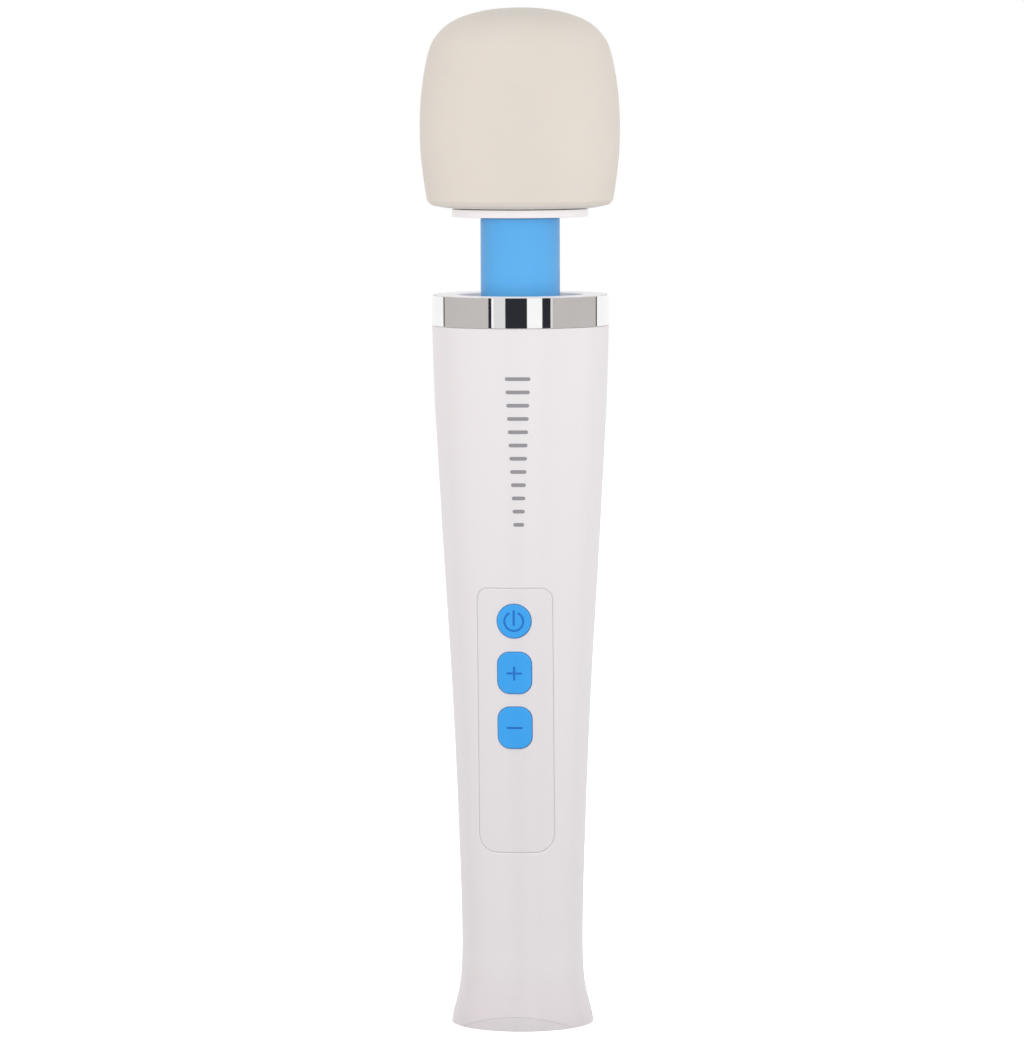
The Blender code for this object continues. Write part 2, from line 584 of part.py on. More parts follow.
boolean(spare, rods("weight_hub", [((0, 0, 262), (0, 0, 293), 5.5)], where=CUTTERS, segments=24))
boolean(eccentric_weight, spare)


hollow = [(20.3, 291.2), (17.3, 297.8), (11.2, 301.3), (0.0, 302.3)]
def crown_curve(points, steps):
    """A centripetal Catmull-Rom curve through points of (r, z), the first of them on the axis."""
    ext = [Vector((-points[1][0], points[1][1]))] + [Vector(p) for p in points]
    ext.append(2 * ext[-1] - ext[-2])
    out = []
    for p in zip(ext, ext[1:], ext[2:], ext[3:]):
        knot = [0.0]
        for a, b in zip(p, p[1:]):
            knot.append(knot[-1] + math.sqrt((b - a).length))

        def between(a, b, i, j, t):
            return ((knot[j] - t) * a + (t - knot[i]) * b) / (knot[j] - knot[i])

        for k in range(steps):
            t = knot[1] + (knot[2] - knot[1]) * k / steps
            a0, a1, a2 = (between(p[i], p[i + 1], i, i + 1, t) for i in range(3))
            c = between(between(a0, a1, 0, 2, t), between(a1, a2, 1, 3, t), 1, 2, t)
            out.append((min(HEAD_R, max(0.0, c.x)), c.y))
    return out + [points[-1]]


silicone_head = turned("silicone_head", crown_curve(CROWN, 2) + HEAD_FOOT + hollow, 40, HEAD_SKIN, closed=False)

# ---------------------------------------------------------------- wiring
for name, x, mat in (("motor_wire_red", 4.5, RED_WIRE), ("motor_wire_black", -4.5, BLACK)):
    wire(name, [(x, 0, 147.8), (x, 0.5, 144.0), (x, -1.5, 138.0), (x, -4.5, 132.0), (x, -6.2, 126.0), (x, -8.5, 124.0)], 0.7, mat)
for name, x, mat in (("inlet_wire_red", 2.4, RED_WIRE), ("inlet_wire_black", -2.4, BLACK)):
    wire(name, [(x, 0, 19.4), (x, 0.3, 27.0), (x, -1.0, 40.0), (x, -3.0, 54.0), (x, -5.5, 66.0), (x, -8.5, 70.0)], 0.7, mat)

# ---------------------------------------------------------------- pivots
neck_low = pivot("neck_bend_low", (0, 0, BEND_LOW))
neck_high = pivot("neck_bend_high", (0, 0, BEND_HIGH))
hang(neck_low, neck_high, neck_sleeve, neck_spring)
hang(
    neck_high, silicone_head, head_plate, core_base, core_cap,
    *[bpy.data.objects[n] for n in ("lower_bearing", "upper_bearing", "plate_screw_1", "plate_screw_2", "plate_screw_3")],
)
head_spin = pivot("head_spin", (0, 0, 279))
hang(neck_high, head_spin)
hang(head_spin, eccentric_shaft, eccentric_weight, head_coupler)
motor_spin = pivot("motor_spin", (0, 0, 180))
hang(motor_spin, motor_rotor, motor_coupler, flex_shaft)
for key, z, _ in BUTTONS:
    slide = pivot(key + "_slide", (0, -handle_r(z), z))
    hang(slide, bpy.data.objects[key + "_button"], bpy.data.objects[key + "_plunger"])
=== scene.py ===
"""Looks for the handheld wand massager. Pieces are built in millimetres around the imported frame: +Z up, -Y the front with the buttons."""

import math

import bmesh
import bpy
from mathutils import Matrix, Quaternion, Vector


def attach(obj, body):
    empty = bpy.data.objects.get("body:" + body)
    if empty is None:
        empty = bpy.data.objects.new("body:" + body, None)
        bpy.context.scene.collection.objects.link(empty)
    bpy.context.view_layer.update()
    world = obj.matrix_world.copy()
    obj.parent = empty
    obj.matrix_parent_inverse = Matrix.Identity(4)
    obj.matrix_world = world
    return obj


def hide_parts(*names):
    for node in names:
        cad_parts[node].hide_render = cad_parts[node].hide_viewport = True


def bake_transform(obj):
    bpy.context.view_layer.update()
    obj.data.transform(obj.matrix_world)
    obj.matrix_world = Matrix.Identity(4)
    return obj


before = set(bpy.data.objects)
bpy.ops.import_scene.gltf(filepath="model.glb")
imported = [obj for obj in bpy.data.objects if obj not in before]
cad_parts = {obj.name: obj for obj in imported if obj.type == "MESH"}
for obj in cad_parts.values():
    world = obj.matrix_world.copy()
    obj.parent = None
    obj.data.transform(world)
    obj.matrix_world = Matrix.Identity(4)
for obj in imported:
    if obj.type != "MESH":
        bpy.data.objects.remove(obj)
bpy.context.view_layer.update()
MM = 0.001
TAU = math.tau

# ---------------------------------------------------------------- design numbers, mm (as in part.py)
HANDLE = [
    (-1.0, 22.7), (0.0, 22.5), (3.0, 22.0), (6.5, 21.1), (10.0, 20.25), (15.0, 19.5), (25.0, 19.1), (60.0, 19.95),
    (100.0, 21.6), (160.0, 25.1), (200.0, 27.15), (226.0, 27.9),
]
WALL = 2.2
FOOT_Z, SHELL_TOP = 0.14, 220.65
PANEL_W, PANEL_Z0, PANEL_Z1 = 23.65, 56.2, 139.6
PANEL_R_TOP, PANEL_R_FOOT, PANEL_T = 3.6, 5.6, 1.15
BUTTON_W, BUTTON_H, BUTTON_CORNER = 10.6, 13.0, 3.8
BUTTONS = [("power", 129.4, 10.6), ("plus", 113.1, BUTTON_H), ("minus", 95.8, BUTTON_H)]
BOARD_Y0, BOARD_Y1 = -10.5, -8.9
BOARD_HALF_W, BOARD_Z0, BOARD_Z1 = 9.5, 58.0, 142.0
SWITCH_FRONT = BOARD_Y0 - 0.3 - 3.3
SHELL_SCREWS = [(13.5, 143.0), (-13.5, 143.0), (10.5, 44.0), (-10.5, 44.0)]
HEAD_TOP = 320.0
# the head's outside from the top down: (radius, height)
DOME = [
    (0.0, HEAD_TOP), (12.5, 318.8), (22.0, 315.2), (27.0, 310.0), (29.0, 304.5), (30.9, 293.0), (31.35, 284.0), (31.2, 275.5),
    (30.0, 264.8), (29.6, 262.3),
]


def monotone(points):
    """A smooth curve through points that never overshoots them."""
    n = len(points)
    h = [points[i + 1][0] - points[i][0] for i in range(n - 1)]
    d = [(points[i + 1][1] - points[i][1]) / h[i] for i in range(n - 1)]
    m = [d[0]]
    for i in range(1, n - 1):
        if d[i - 1] * d[i] <= 0:
            m.append(0.0)
        else:
            a, b = 2 * h[i] + h[i - 1], h[i] + 2 * h[i - 1]
            m.append((a + b) / (a / d[i - 1] + b / d[i]))
    m.append(d[-1])

    def value(x):
        x = min(max(x, points[0][0]), points[-1][0])
        i = max(k for k in range(n - 1) if points[k][0] <= x)
        t = (x - points[i][0]) / h[i]
        return (
            points[i][1] * (2 * t**3 - 3 * t**2 + 1) + h[i] * m[i] * (t**3 - 2 * t**2 + t)
            + points[i + 1][1] * (3 * t**2 - 2 * t**3) + h[i] * m[i + 1] * (t**3 - t**2)
        )

    return value


handle_r = monotone(HANDLE)

# ---------------------------------------------------------------- camera
EYE_AZ, EYE_DIST, EYE_PITCH = 5.9, 1.836, 4.55
AIM_Z, AIM_LEFT, ROLL = 0.1595, 0.00287, 0.2
azimuth = math.radians(EYE_AZ)
right = Vector((math.cos(azimuth), math.sin(azimuth), 0))
back = Vector((math.sin(azimuth), -math.cos(azimuth), 0))
pitch = math.radians(EYE_PITCH)
back = back * math.cos(pitch) + Vector((0, 0, 1)) * math.sin(pitch)
aim = Vector((0, 0, AIM_Z)) - right * AIM_LEFT
camera = bpy.data.objects.new("camera", bpy.data.cameras.new("camera"))
camera.data.sensor_width = 36.0
camera.data.lens = 202.2
camera.data.clip_start, camera.data.clip_end = 0.05, 30.0
camera.location = aim + back * EYE_DIST
camera.rotation_mode = "QUATERNION"
camera.rotation_quaternion = (-back).to_track_quat("-Z", "Y") @ Quaternion((0, 0, 1), math.radians(-ROLL))
bpy.context.scene.collection.objects.link(camera)
bpy.context.scene.camera = camera
bpy.context.scene.view_settings.view_transform = "Standard"


# ---------------------------------------------------------------- materials
def srgb(r, g, b):
    """Linear colour of a display colour given 0 to 255."""
    def one(c):
        c /= 255
        return c / 12.92 if c <= 0.04045 else ((c + 0.055) / 1.055) ** 2.4
    return (one(r), one(g), one(b), 1.0)


class Shader:
    """One Principled material, with small helpers for its node tree."""

    def __init__(self, name, **values):
        self.material = bpy.data.materials.new(name)
        self.material.use_nodes = True
        self.tree = self.material.node_tree
        self.bsdf = self.tree.nodes["Principled BSDF"]
        for key, value in values.items():
            self.bsdf.inputs[key.replace("_", " ")].default_value = value

    def node(self, kind, inputs=None, **settings):
        made = self.tree.nodes.new(kind)
        for key, value in settings.items():
            setattr(made, key, value)
        for key, value in (inputs or {}).items():
            if isinstance(value, bpy.types.NodeSocket):
                self.tree.links.new(value, made.inputs[key])
            else:
                made.inputs[key].default_value = value
        return made

    def link(self, socket, name):
        self.tree.links.new(socket, self.bsdf.inputs[name])

    def coords(self, scale=(1, 1, 1)):
        where = self.node("ShaderNodeTexCoord")
        return self.node("ShaderNodeMapping", {"Vector": where.outputs["Object"], "Scale": scale}).outputs["Vector"]

    def noise(self, scale, detail=3.0, rough=0.5, stretch=(1, 1, 1), distortion=0.0):
        made = self.node(
            "ShaderNodeTexNoise",
            {"Vector": self.coords(stretch), "Scale": scale, "Detail": detail, "Roughness": rough, "Distortion": distortion},
        )
        return made.outputs["Fac"]

    def ramp(self, fac, stops, smooth=False):
        made = self.node("ShaderNodeValToRGB", {"Fac": fac})
        ramp = made.color_ramp
        if smooth:
            ramp.interpolation = "EASE"
        while len(ramp.elements) < len(stops):
            ramp.elements.new(0.5)
        for element, (place, colour) in zip(ramp.elements, stops):
            element.position = place
            element.color = colour
        return made.outputs["Color"]

    def remap(self, fac, low, high, start=0.0, end=1.0):
        made = self.node(
            "ShaderNodeMapRange",
            {"Value": fac, "From Min": start, "From Max": end, "To Min": low, "To Max": high},
        )
        return made.outputs["Result"]

    def bump(self, height, strength, distance, normal=None):
        inputs = {"Height": height, "Strength": strength, "Distance": distance}
        if normal is not None:
            inputs["Normal"] = normal
        return self.node("ShaderNodeBump", inputs).outputs["Normal"]


def tint(colour, factor, shift=(0, 0, 0)):
    return tuple(min(1.0, max(0.0, c * factor + s)) for c, s in zip(colour[:3], shift)) + (1.0,)


def gloss_plastic(name, colour, roughness=0.2, variation=0.008, coat=0.15, ripple=0.04, subsurface=0.06):
    """Moulded gloss plastic: faint flow mottling in the colour, a fine orange peel, and handling haze in the gloss."""
    s = Shader(name, Roughness=roughness, Coat_Weight=coat, Coat_Roughness=0.08, IOR=1.48)
    s.bsdf.inputs["Subsurface Weight"].default_value = subsurface
    s.bsdf.inputs["Subsurface Radius"].default_value = (1.0, 0.8, 0.7)
    s.bsdf.inputs["Subsurface Scale"].default_value = 0.0012
    flow = s.noise(14.0, 2.0, 0.5, (1, 1, 0.35))
    s.link(s.ramp(flow, [(0.2, tint(colour, 1 - variation)), (0.8, tint(colour, 1 + variation))], smooth=True), "Base Color")
    haze = s.noise(30.0, 2.0, 0.45)
    s.link(s.remap(haze, roughness - 0.02, roughness + 0.03, 0.2, 0.8), "Roughness")
    peel = s.noise(900.0, 2.0, 0.5)
    s.link(s.bump(peel, ripple, 0.0002), "Normal")
    return s.material


def satin_plastic(name, colour, roughness=0.45, variation=0.06, grain=2600.0, strength=0.12):
    """Spark-eroded moulded plastic: an even fine grain and a slightly uneven sheen."""
    s = Shader(name, Roughness=roughness, IOR=1.46)
    patch = s.noise(45.0, 3.0)
    s.link(s.ramp(patch, [(0.3, tint(colour, 1 - variation)), (0.7, tint(colour, 1 + variation))]), "Base Color")
    fine = s.noise(grain, 2.0, 0.6)
    s.link(s.remap(fine, roughness - 0.08, roughness + 0.1, 0.3, 0.7), "Roughness")
    s.link(s.bump(fine, strength, 0.00015), "Normal")
    return s.material


def silicone(name, colour, roughness=0.62, variation=0.03, radius=(1.0, 0.75, 0.55), depth=0.004, weight=0.25, sheen=0.12):
    """Moulded silicone: soft light inside it, a powdery matte skin and specks of lint-size unevenness."""
    s = Shader(name, Roughness=roughness, IOR=1.41, Sheen_Weight=sheen, Sheen_Roughness=0.5)
    s.bsdf.inputs["Subsurface Weight"].default_value = weight
    s.bsdf.inputs["Subsurface Radius"].default_value = radius
    s.bsdf.inputs["Subsurface Scale"].default_value = depth
    cloud = s.noise(26.0, 5.0, 0.6, (1, 1, 0.8))
    s.link(s.ramp(cloud, [(0.25, tint(colour, 1 - variation)), (0.75, tint(colour, 1 + variation * 0.6))]), "Base Color")
    powder = s.noise(420.0, 4.0, 0.65)
    s.link(s.remap(powder, roughness - 0.07, roughness + 0.1, 0.3, 0.7), "Roughness")
    skin = s.noise(1500.0, 3.0, 0.6)
    wide = s.noise(70.0, 2.0, 0.5)
    s.link(s.bump(skin, 0.1, 0.0002, s.bump(wide, 0.06, 0.0006)), "Normal")
    return s.material


def metal(name, colour, roughness=0.3, brushed=(1, 1, 60), variation=0.06, scratches=0.1):
    """Machined metal with fine turning marks along one direction and a patchy polish."""
    s = Shader(name, Metallic=1.0, Roughness=roughness)
    patch = s.noise(70.0, 4.0)
    s.link(s.ramp(patch, [(0.3, tint(colour, 1 - variation)), (0.7, tint(colour, 1 + variation))]), "Base Color")
    lines = s.noise(260.0, 3.0, 0.7, brushed)
    s.link(s.remap(lines, max(0.02, roughness - 0.1), roughness + 0.12, 0.3, 0.7), "Roughness")
    s.link(s.bump(lines, scratches, 0.0001), "Normal")
    return s.material


def chrome_plate(name):
    """Bright chrome plating: almost perfect mirror, with hairline polishing marks and a trace of handling haze."""
    s = Shader(name, Metallic=1.0, Roughness=0.03)
    haze = s.noise(45.0, 4.0, 0.6)
    s.link(s.ramp(haze, [(0.3, (0.90, 0.89, 0.895, 1)), (0.7, (0.96, 0.955, 0.96, 1))]), "Base Color")
    hair = s.noise(420.0, 2.0, 0.6, (1, 1, 30))
    s.link(s.remap(hair, 0.015, 0.05, 0.3, 0.75), "Roughness")
    return s.material


def rubber(name, colour, roughness=0.8):
    s = Shader(name, Roughness=roughness, IOR=1.5)
    patch = s.noise(90.0, 4.0)
    s.link(s.ramp(patch, [(0.3, tint(colour, 0.8)), (0.7, tint(colour, 1.15))]), "Base Color")
    grain = s.noise(1800.0, 3.0, 0.6)
    s.link(s.remap(grain, roughness - 0.1, min(1.0, roughness + 0.1), 0.3, 0.7), "Roughness")
    s.link(s.bump(grain, 0.2, 0.00015), "Normal")
    return s.material


SHELL = gloss_plastic("shell_white", srgb(236, 231, 233), roughness=0.33, coat=0.06)
PANEL_WHITE = gloss_plastic("panel_white", srgb(234, 229, 231), roughness=0.35, coat=0.05)
CAP_WHITE = gloss_plastic("cap_white", srgb(252, 250, 251), roughness=0.5, coat=0.0)
# painted shade: a darker white for the cap's recess round the neck, standing in for the shadow under the head
CAP_PAINTED_SHADE = gloss_plastic("cap_painted_shade", srgb(222, 219, 221), roughness=0.55, coat=0.0)
PLATE_WHITE = gloss_plastic("plate_white", srgb(249, 244, 247), roughness=0.3)
FOOT_WHITE = gloss_plastic("foot_white", srgb(231, 228, 230), roughness=0.38)
# the cap and the neck plate sit under the head: a trace of light inside stands for what bounces between them
for white, level in ((CAP_WHITE, 0.075), (PLATE_WHITE, 0.01)):
    shell = white.node_tree.nodes["Principled BSDF"]
    shell.inputs["Emission Color"].default_value = (1, 0.985, 0.99, 1)
    shell.inputs["Emission Strength"].default_value = level
CORE_WHITE = satin_plastic("core_nylon", srgb(226, 220, 216), roughness=0.5)
HEAD = silicone("head_silicone", srgb(226, 218, 208))
NECK = silicone("neck_silicone", srgb(95, 181, 243), roughness=0.42, variation=0.02, radius=(0.3, 0.7, 1.0), depth=0.002, weight=0.15, sheen=0.05)
tree = NECK.node_tree
bounce = tree.nodes.new("ShaderNodeMix")
bounce.data_type = "RGBA"
link = tree.nodes["Principled BSDF"].inputs["Base Color"].links[0]
tree.links.new(link.from_socket, bounce.inputs["A"])
bounce.inputs["B"].default_value = (0.62, 0.66, 0.7, 1)
tree.links.new(tree.nodes.new("ShaderNodeLightPath").outputs["Is Diffuse Ray"], bounce.inputs["Factor"])
tree.links.new(bounce.outputs["Result"], tree.nodes["Principled BSDF"].inputs["Base Color"])
# painted shade: the shell and the end cap are coloured darker and a little pinker towards the foot
for white in (SHELL, FOOT_WHITE):
    tree = white.node_tree
    link = tree.nodes["Principled BSDF"].inputs["Base Color"].links[0]
    place = tree.nodes.new("ShaderNodeSeparateXYZ")
    tree.links.new(tree.nodes.new("ShaderNodeNewGeometry").outputs["Position"], place.inputs["Vector"])
    foot_shade_ramp = tree.nodes.new("ShaderNodeMapRange")
    foot_shade_ramp.interpolation_type = "SMOOTHSTEP"
    foot_shade_ramp.inputs["From Min"].default_value = 0.001
    foot_shade_ramp.inputs["From Max"].default_value = 0.024
    foot_shade_ramp.inputs["To Min"].default_value = 1.0
    foot_shade_ramp.inputs["To Max"].default_value = 0.0
    tree.links.new(place.outputs["Z"], foot_shade_ramp.inputs["Value"])
    # painted shade: multiplies the colour by a darker, pinker white low on the handle
    tone = tree.nodes.new("ShaderNodeMix")
    tone.data_type = "RGBA"
    tone.blend_type = "MULTIPLY"
    tree.links.new(foot_shade_ramp.outputs["Result"], tone.inputs["Factor"])
    tree.links.new(link.from_socket, tone.inputs["A"])
    tone.inputs["B"].default_value = (0.915, 0.885, 0.89, 1)
    tree.links.new(tone.outputs["Result"], tree.nodes["Principled BSDF"].inputs["Base Color"])
# painted shade: the neck's blue is mixed to a deeper blue where its surface turns away from the camera
tree = NECK.node_tree
link = tree.nodes["Principled BSDF"].inputs["Base Color"].links[0]
turning = tree.nodes.new("ShaderNodeLayerWeight")
turning.inputs["Blend"].default_value = 0.35
painted_edge_shade = tree.nodes.new("ShaderNodeMix")
painted_edge_shade.data_type = "RGBA"
tree.links.new(turning.outputs["Facing"], painted_edge_shade.inputs["Factor"])
tree.links.new(link.from_socket, painted_edge_shade.inputs["A"])
painted_edge_shade.inputs["B"].default_value = srgb(72, 150, 214)
tree.links.new(painted_edge_shade.outputs["Result"], tree.nodes["Principled BSDF"].inputs["Base Color"])
BUTTON = satin_plastic("button_blue", srgb(59, 168, 246), roughness=0.38, variation=0.03)
SYMBOL = satin_plastic("symbol_blue", srgb(38, 127, 213), roughness=0.5, variation=0.03)
MARK = satin_plastic("print_grey", srgb(150, 148, 153), roughness=0.4, variation=0.03)
CHROME = chrome_plate("ring_chrome")
STEEL = metal("bare_steel", (0.56, 0.57, 0.59, 1))
SPRING_STEEL = metal("spring_steel", (0.5, 0.51, 0.54, 1), roughness=0.25)
BRASS = metal("machined_brass", (0.78, 0.58, 0.28, 1), roughness=0.28)
COPPER = metal("copper_winding", (0.66, 0.3, 0.14, 1), roughness=0.38, brushed=(60, 60, 1))
BLACK = satin_plastic("black_nylon", (0.022, 0.022, 0.025, 1), roughness=0.5, variation=0.2)
DARK_RUBBER = rubber("black_rubber", (0.03, 0.03, 0.03, 1))
RED_RUBBER = rubber("red_insulation", (0.55, 0.03, 0.03, 1), roughness=0.5)
BOARD = satin_plastic("solder_mask", (0.015, 0.16, 0.07, 1), roughness=0.3, variation=0.25, grain=900.0)


# ---------------------------------------------------------------- mesh helpers
def finish_mesh(name, bm, material, angle=32):
    bmesh.ops.remove_doubles(bm, verts=bm.verts, dist=2e-6)
    bmesh.ops.recalc_face_normals(bm, faces=bm.faces)
    mesh = bpy.data.meshes.new(name)
    bm.to_mesh(mesh)
    bm.free()
    mesh.shade_smooth()
    mesh.set_sharp_from_angle(angle=math.radians(angle))
    obj = bpy.data.objects.new(name, mesh)
    bpy.context.scene.collection.objects.link(obj)
    for m in material if isinstance(material, (list, tuple)) else [material]:
        mesh.materials.append(m)
    return obj


def rounded(points, closed=True, steps=5):
    """A profile of (r, z) or (r, z, fillet) with its filleted corners turned into arcs. A point just past each arc keeps the flats flat in the shading."""
    out = []
    n = len(points)
    for i, p in enumerate(points):
        if len(p) < 3 or p[2] <= 0 or (not closed and i in (0, n - 1)):
            out.append((p[0], p[1]))
            continue
        here = Vector(p[:2])
        u = (Vector(points[i - 1][:2]) - here)
        v = (Vector(points[(i + 1) % n][:2]) - here)
        lu, lv = u.length, v.length
        u.normalize()
        v.normalize()
        bend = math.acos(max(-1.0, min(1.0, u.dot(v))))
        reach = min(p[2] / math.tan(bend / 2), lu * 0.49, lv * 0.49)
        radius = reach * math.tan(bend / 2)
        start = here + u * reach
        end = here + v * reach
        centre = here + (u + v).normalized() * (radius / math.sin(bend / 2))
        a0 = math.atan2(start.y - centre.y, start.x - centre.x)
        a1 = math.atan2(end.y - centre.y, end.x - centre.x)
        sweep = (a1 - a0 + math.pi) % TAU - math.pi
        spare_u, spare_v = lu * 0.5 - reach, lv * 0.5 - reach
        if spare_u > 0.02:
            out.append(tuple(start + u * min(0.06, spare_u * 0.5)))
        for k in range(steps + 1):
            a = a0 + sweep * k / steps
            out.append((centre.x + radius * math.cos(a), centre.y + radius * math.sin(a)))
        if spare_v > 0.02:
            out.append(tuple(end + v * min(0.06, spare_v * 0.5)))
    return out


def lathe(name, profile, segments, material, closed=True, angle=32, shift=(0, 0)):
    """Turns a profile of (r, z) about Z. A profile that isn't closed starts and ends on the axis."""
    bm = bmesh.new()
    rings = []
    for r, z in profile:
        if r < 1e-6:
            rings.append([bm.verts.new((shift[0] * MM, shift[1] * MM, z * MM))])
        else:
            rings.append([
                bm.verts.new((
                    (shift[0] + r * math.cos(TAU * k / segments)) * MM,
                    (shift[1] + r * math.sin(TAU * k / segments)) * MM, z * MM,
                ))
                for k in range(segments)
            ])
    pairs = list(zip(rings, rings[1:]))
    if closed:
        pairs.append((rings[-1], rings[0]))
    for a, b in pairs:
        if len(a) == 1 and len(b) == 1:
            continue
        for k in range(segments):
            j = (k + 1) % segments
            quad = [a[k % len(a)], a[j % len(a)], b[j % len(b)], b[k % len(b)]]
            quad = [v for i, v in enumerate(quad) if v not in quad[:i]]
            if len(quad) > 2:
                bm.faces.new(quad)
    return finish_mesh(name, bm, material, angle)


def on_handle(x, z, depth):
    """The point on the front of the handle at (x, z), this far under its surface."""
    r = handle_r(z) - depth
    return Vector((x * MM, -math.sqrt(max(r * r - x * x, 1e-9)) * MM, z * MM))


def rr_outline(width, z0, z1, r_low, r_high, grow=0.0, corner=8, side=1, end=1):
    """Counter-clockwise rounded rectangle (x, z), always the same number of points. Shrunk past its corners it keeps tiny radii."""
    w = max(width / 2 + grow, 0.0)
    low, high = z0 - grow, z1 + grow
    rl = max(min(r_low + grow, w), 0.0)
    rh = max(min(r_high + grow, w), 0.0)
    pts = []

    def arc(cx, cz, r, a0):
        for k in range(corner + 1):
            a = math.radians(a0 + 90 * k / corner)
            pts.append((cx + r * math.cos(a), cz + r * math.sin(a)))

    def line(p, q, count):
        for k in range(1, count):
            pts.append((p[0] + (q[0] - p[0]) * k / count, p[1] + (q[1] - p[1]) * k / count))

    arc(w - rl, low + rl, rl, -90)
    line((w, low + rl), (w, high - rh), side)
    arc(w - rh, high - rh, rh, 0)
    line((w - rh, high), (-w + rh, high), end)
    arc(-w + rh, high - rh, rh, 90)
    line((-w, high - rh), (-w, low + rl), side)
    arc(-w + rl, low + rl, rl, 180)
    line((-w + rl, low), (w - rl, low), end)
    return pts


def circle_outline(z, radius, grow=0.0, count=72):
    r = max(radius + grow, 0.0)
    return [(r * math.cos(TAU * k / count), z + r * math.sin(TAU * k / count)) for k in range(count)]


def wrapped(name, outline, layers, material, angle=32, place=on_handle):
    """A solid lofted through layers of (grow, depth): outline(grow) gives each loop, laid on the handle at that depth. The first and last layers close on themselves."""
    bm = bmesh.new()
    loops = [[bm.verts.new(place(x, z, depth)) for x, z in outline(grow)] for grow, depth in layers]
    count = len(loops[0])
    for a, b in zip(loops, loops[1:]):
        for k in range(count):
            j = (k + 1) % count
            bm.faces.new((a[k], a[j], b[j], b[k]))
    obj_bm = bm
    bmesh.ops.remove_doubles(obj_bm, verts=obj_bm.verts, dist=3e-6)
    holes = [e for e in obj_bm.edges if e.is_boundary]
    if holes:
        bmesh.ops.holes_fill(obj_bm, edges=holes, sides=0)
    bmesh.ops.dissolve_degenerate(obj_bm, edges=obj_bm.edges, dist=1e-6)
    return finish_mesh(name, obj_bm, material, angle)


def stroke(bm, points, width, top, bottom, step=0.25, taper=None, place=on_handle):
    """Adds a raised or sunk line of this width with round ends, laid on the handle between two depths."""
    pts = [Vector(p) for p in points]
    lengths = [0.0]
    for a, b in zip(pts, pts[1:]):
        lengths.append(lengths[-1] + (b - a).length)
    total = lengths[-1]
    half = width / 2

    def at(s):
        s = min(max(s, 0.0), total)
        i = max(k for k in range(len(pts) - 1) if lengths[k] <= s + 1e-12)
        span = lengths[i + 1] - lengths[i] or 1e-9
        t = (s - lengths[i]) / span
        return pts[i].lerp(pts[i + 1], t), (pts[i + 1] - pts[i]).normalized()

    stops = [-half * math.cos(math.pi / 2 * k / 6) for k in range(6)]
    count = max(1, round(total / step))
    stops += [total * k / count for k in range(count + 1)]
    stops += [total + half * math.sin(math.pi / 2 * k / 6) for k in range(1, 7)]
    rows = []
    for s in stops:
        p, d = at(s)
        over = -s if s < 0 else (s - total if s > total else 0.0)
        if s < 0:
            p = p + d * s
        elif s > total:
            p = p + d * (s - total)
        w = math.sqrt(max(half * half - over * over, 0.0))
        w = max(w, 0.02)
        n = Vector((-d.y, d.x))
        rows.append([p + n * w, p + n * w * 0.5, p, p - n * w * 0.5, p - n * w])
    tops = [[bm.verts.new(place(q.x, q.y, top)) for q in row] for row in rows]
    lows = [[bm.verts.new(place(q.x, q.y, bottom)) for q in row] for row in rows]
    last = len(rows) - 1
    for i in range(last):
        for k in range(4):
            bm.faces.new((tops[i][k], tops[i][k + 1], tops[i + 1][k + 1], tops[i + 1][k]))
            bm.faces.new((lows[i][k], lows[i + 1][k], lows[i + 1][k + 1], lows[i][k + 1]))
        bm.faces.new((tops[i][0], tops[i + 1][0], lows[i + 1][0], lows[i][0]))
        bm.faces.new((tops[i][4], lows[i][4], lows[i + 1][4], tops[i + 1][4]))
    for k in range(4):
        bm.faces.new((tops[0][k], lows[0][k], lows[0][k + 1], tops[0][k + 1]))
        bm.faces.new((tops[last][k], tops[last][k + 1], lows[last][k + 1], lows[last][k]))


def cut(obj, cutter, how="DIFFERENCE", keep=False):
    """Applies an exact Boolean and removes the cutter."""
    mod = obj.modifiers.new("cut", "BOOLEAN")
    mod.operation = how
    mod.solver = "EXACT"
    mod.object = cutter
    bpy.context.view_layer.update()
    graph = bpy.context.evaluated_depsgraph_get()
    mesh = bpy.data.meshes.new_from_object(obj.evaluated_get(graph))
    obj.modifiers.clear()
    old = obj.data
    obj.data = mesh
    bpy.data.meshes.remove(old)
    if not keep:
        bpy.data.objects.remove(cutter, do_unlink=True)
    return obj


def resharpen(obj, angle=32):
    mesh = obj.data
    bm = bmesh.new()
    bm.from_mesh(mesh)
    bmesh.ops.remove_doubles(bm, verts=bm.verts, dist=1e-6)
    bmesh.ops.dissolve_degenerate(bm, edges=bm.edges, dist=1e-6)
    bm.to_mesh(mesh)
    bm.free()
    mesh.shade_smooth()
    mesh.set_sharp_from_angle(angle=math.radians(angle))
    return obj


def true_normals(obj, slack=0.03):
    """Gives the faces that lie on the handle's own skin the exact normals of that skin, however a cut has divided them."""
    mesh = obj.data
    normals = [Vector(corner.vector) for corner in mesh.corner_normals]
    for polygon in mesh.polygons:
        for index in polygon.loop_indices:
            co = mesh.vertices[mesh.loops[index].vertex_index].co
            r, z = math.hypot(co.x, co.y), co.z / MM
            if abs(r / MM - handle_r(z)) > slack:
                continue
            slope = (handle_r(z + 0.2) - handle_r(z - 0.2)) / 0.4
            exact = Vector((co.x, co.y, -slope * r)).normalized()
            if exact.dot(polygon.normal) > 0.975:
                normals[index] = exact
    mesh.normals_split_custom_set([tuple(n) for n in normals])
    return obj


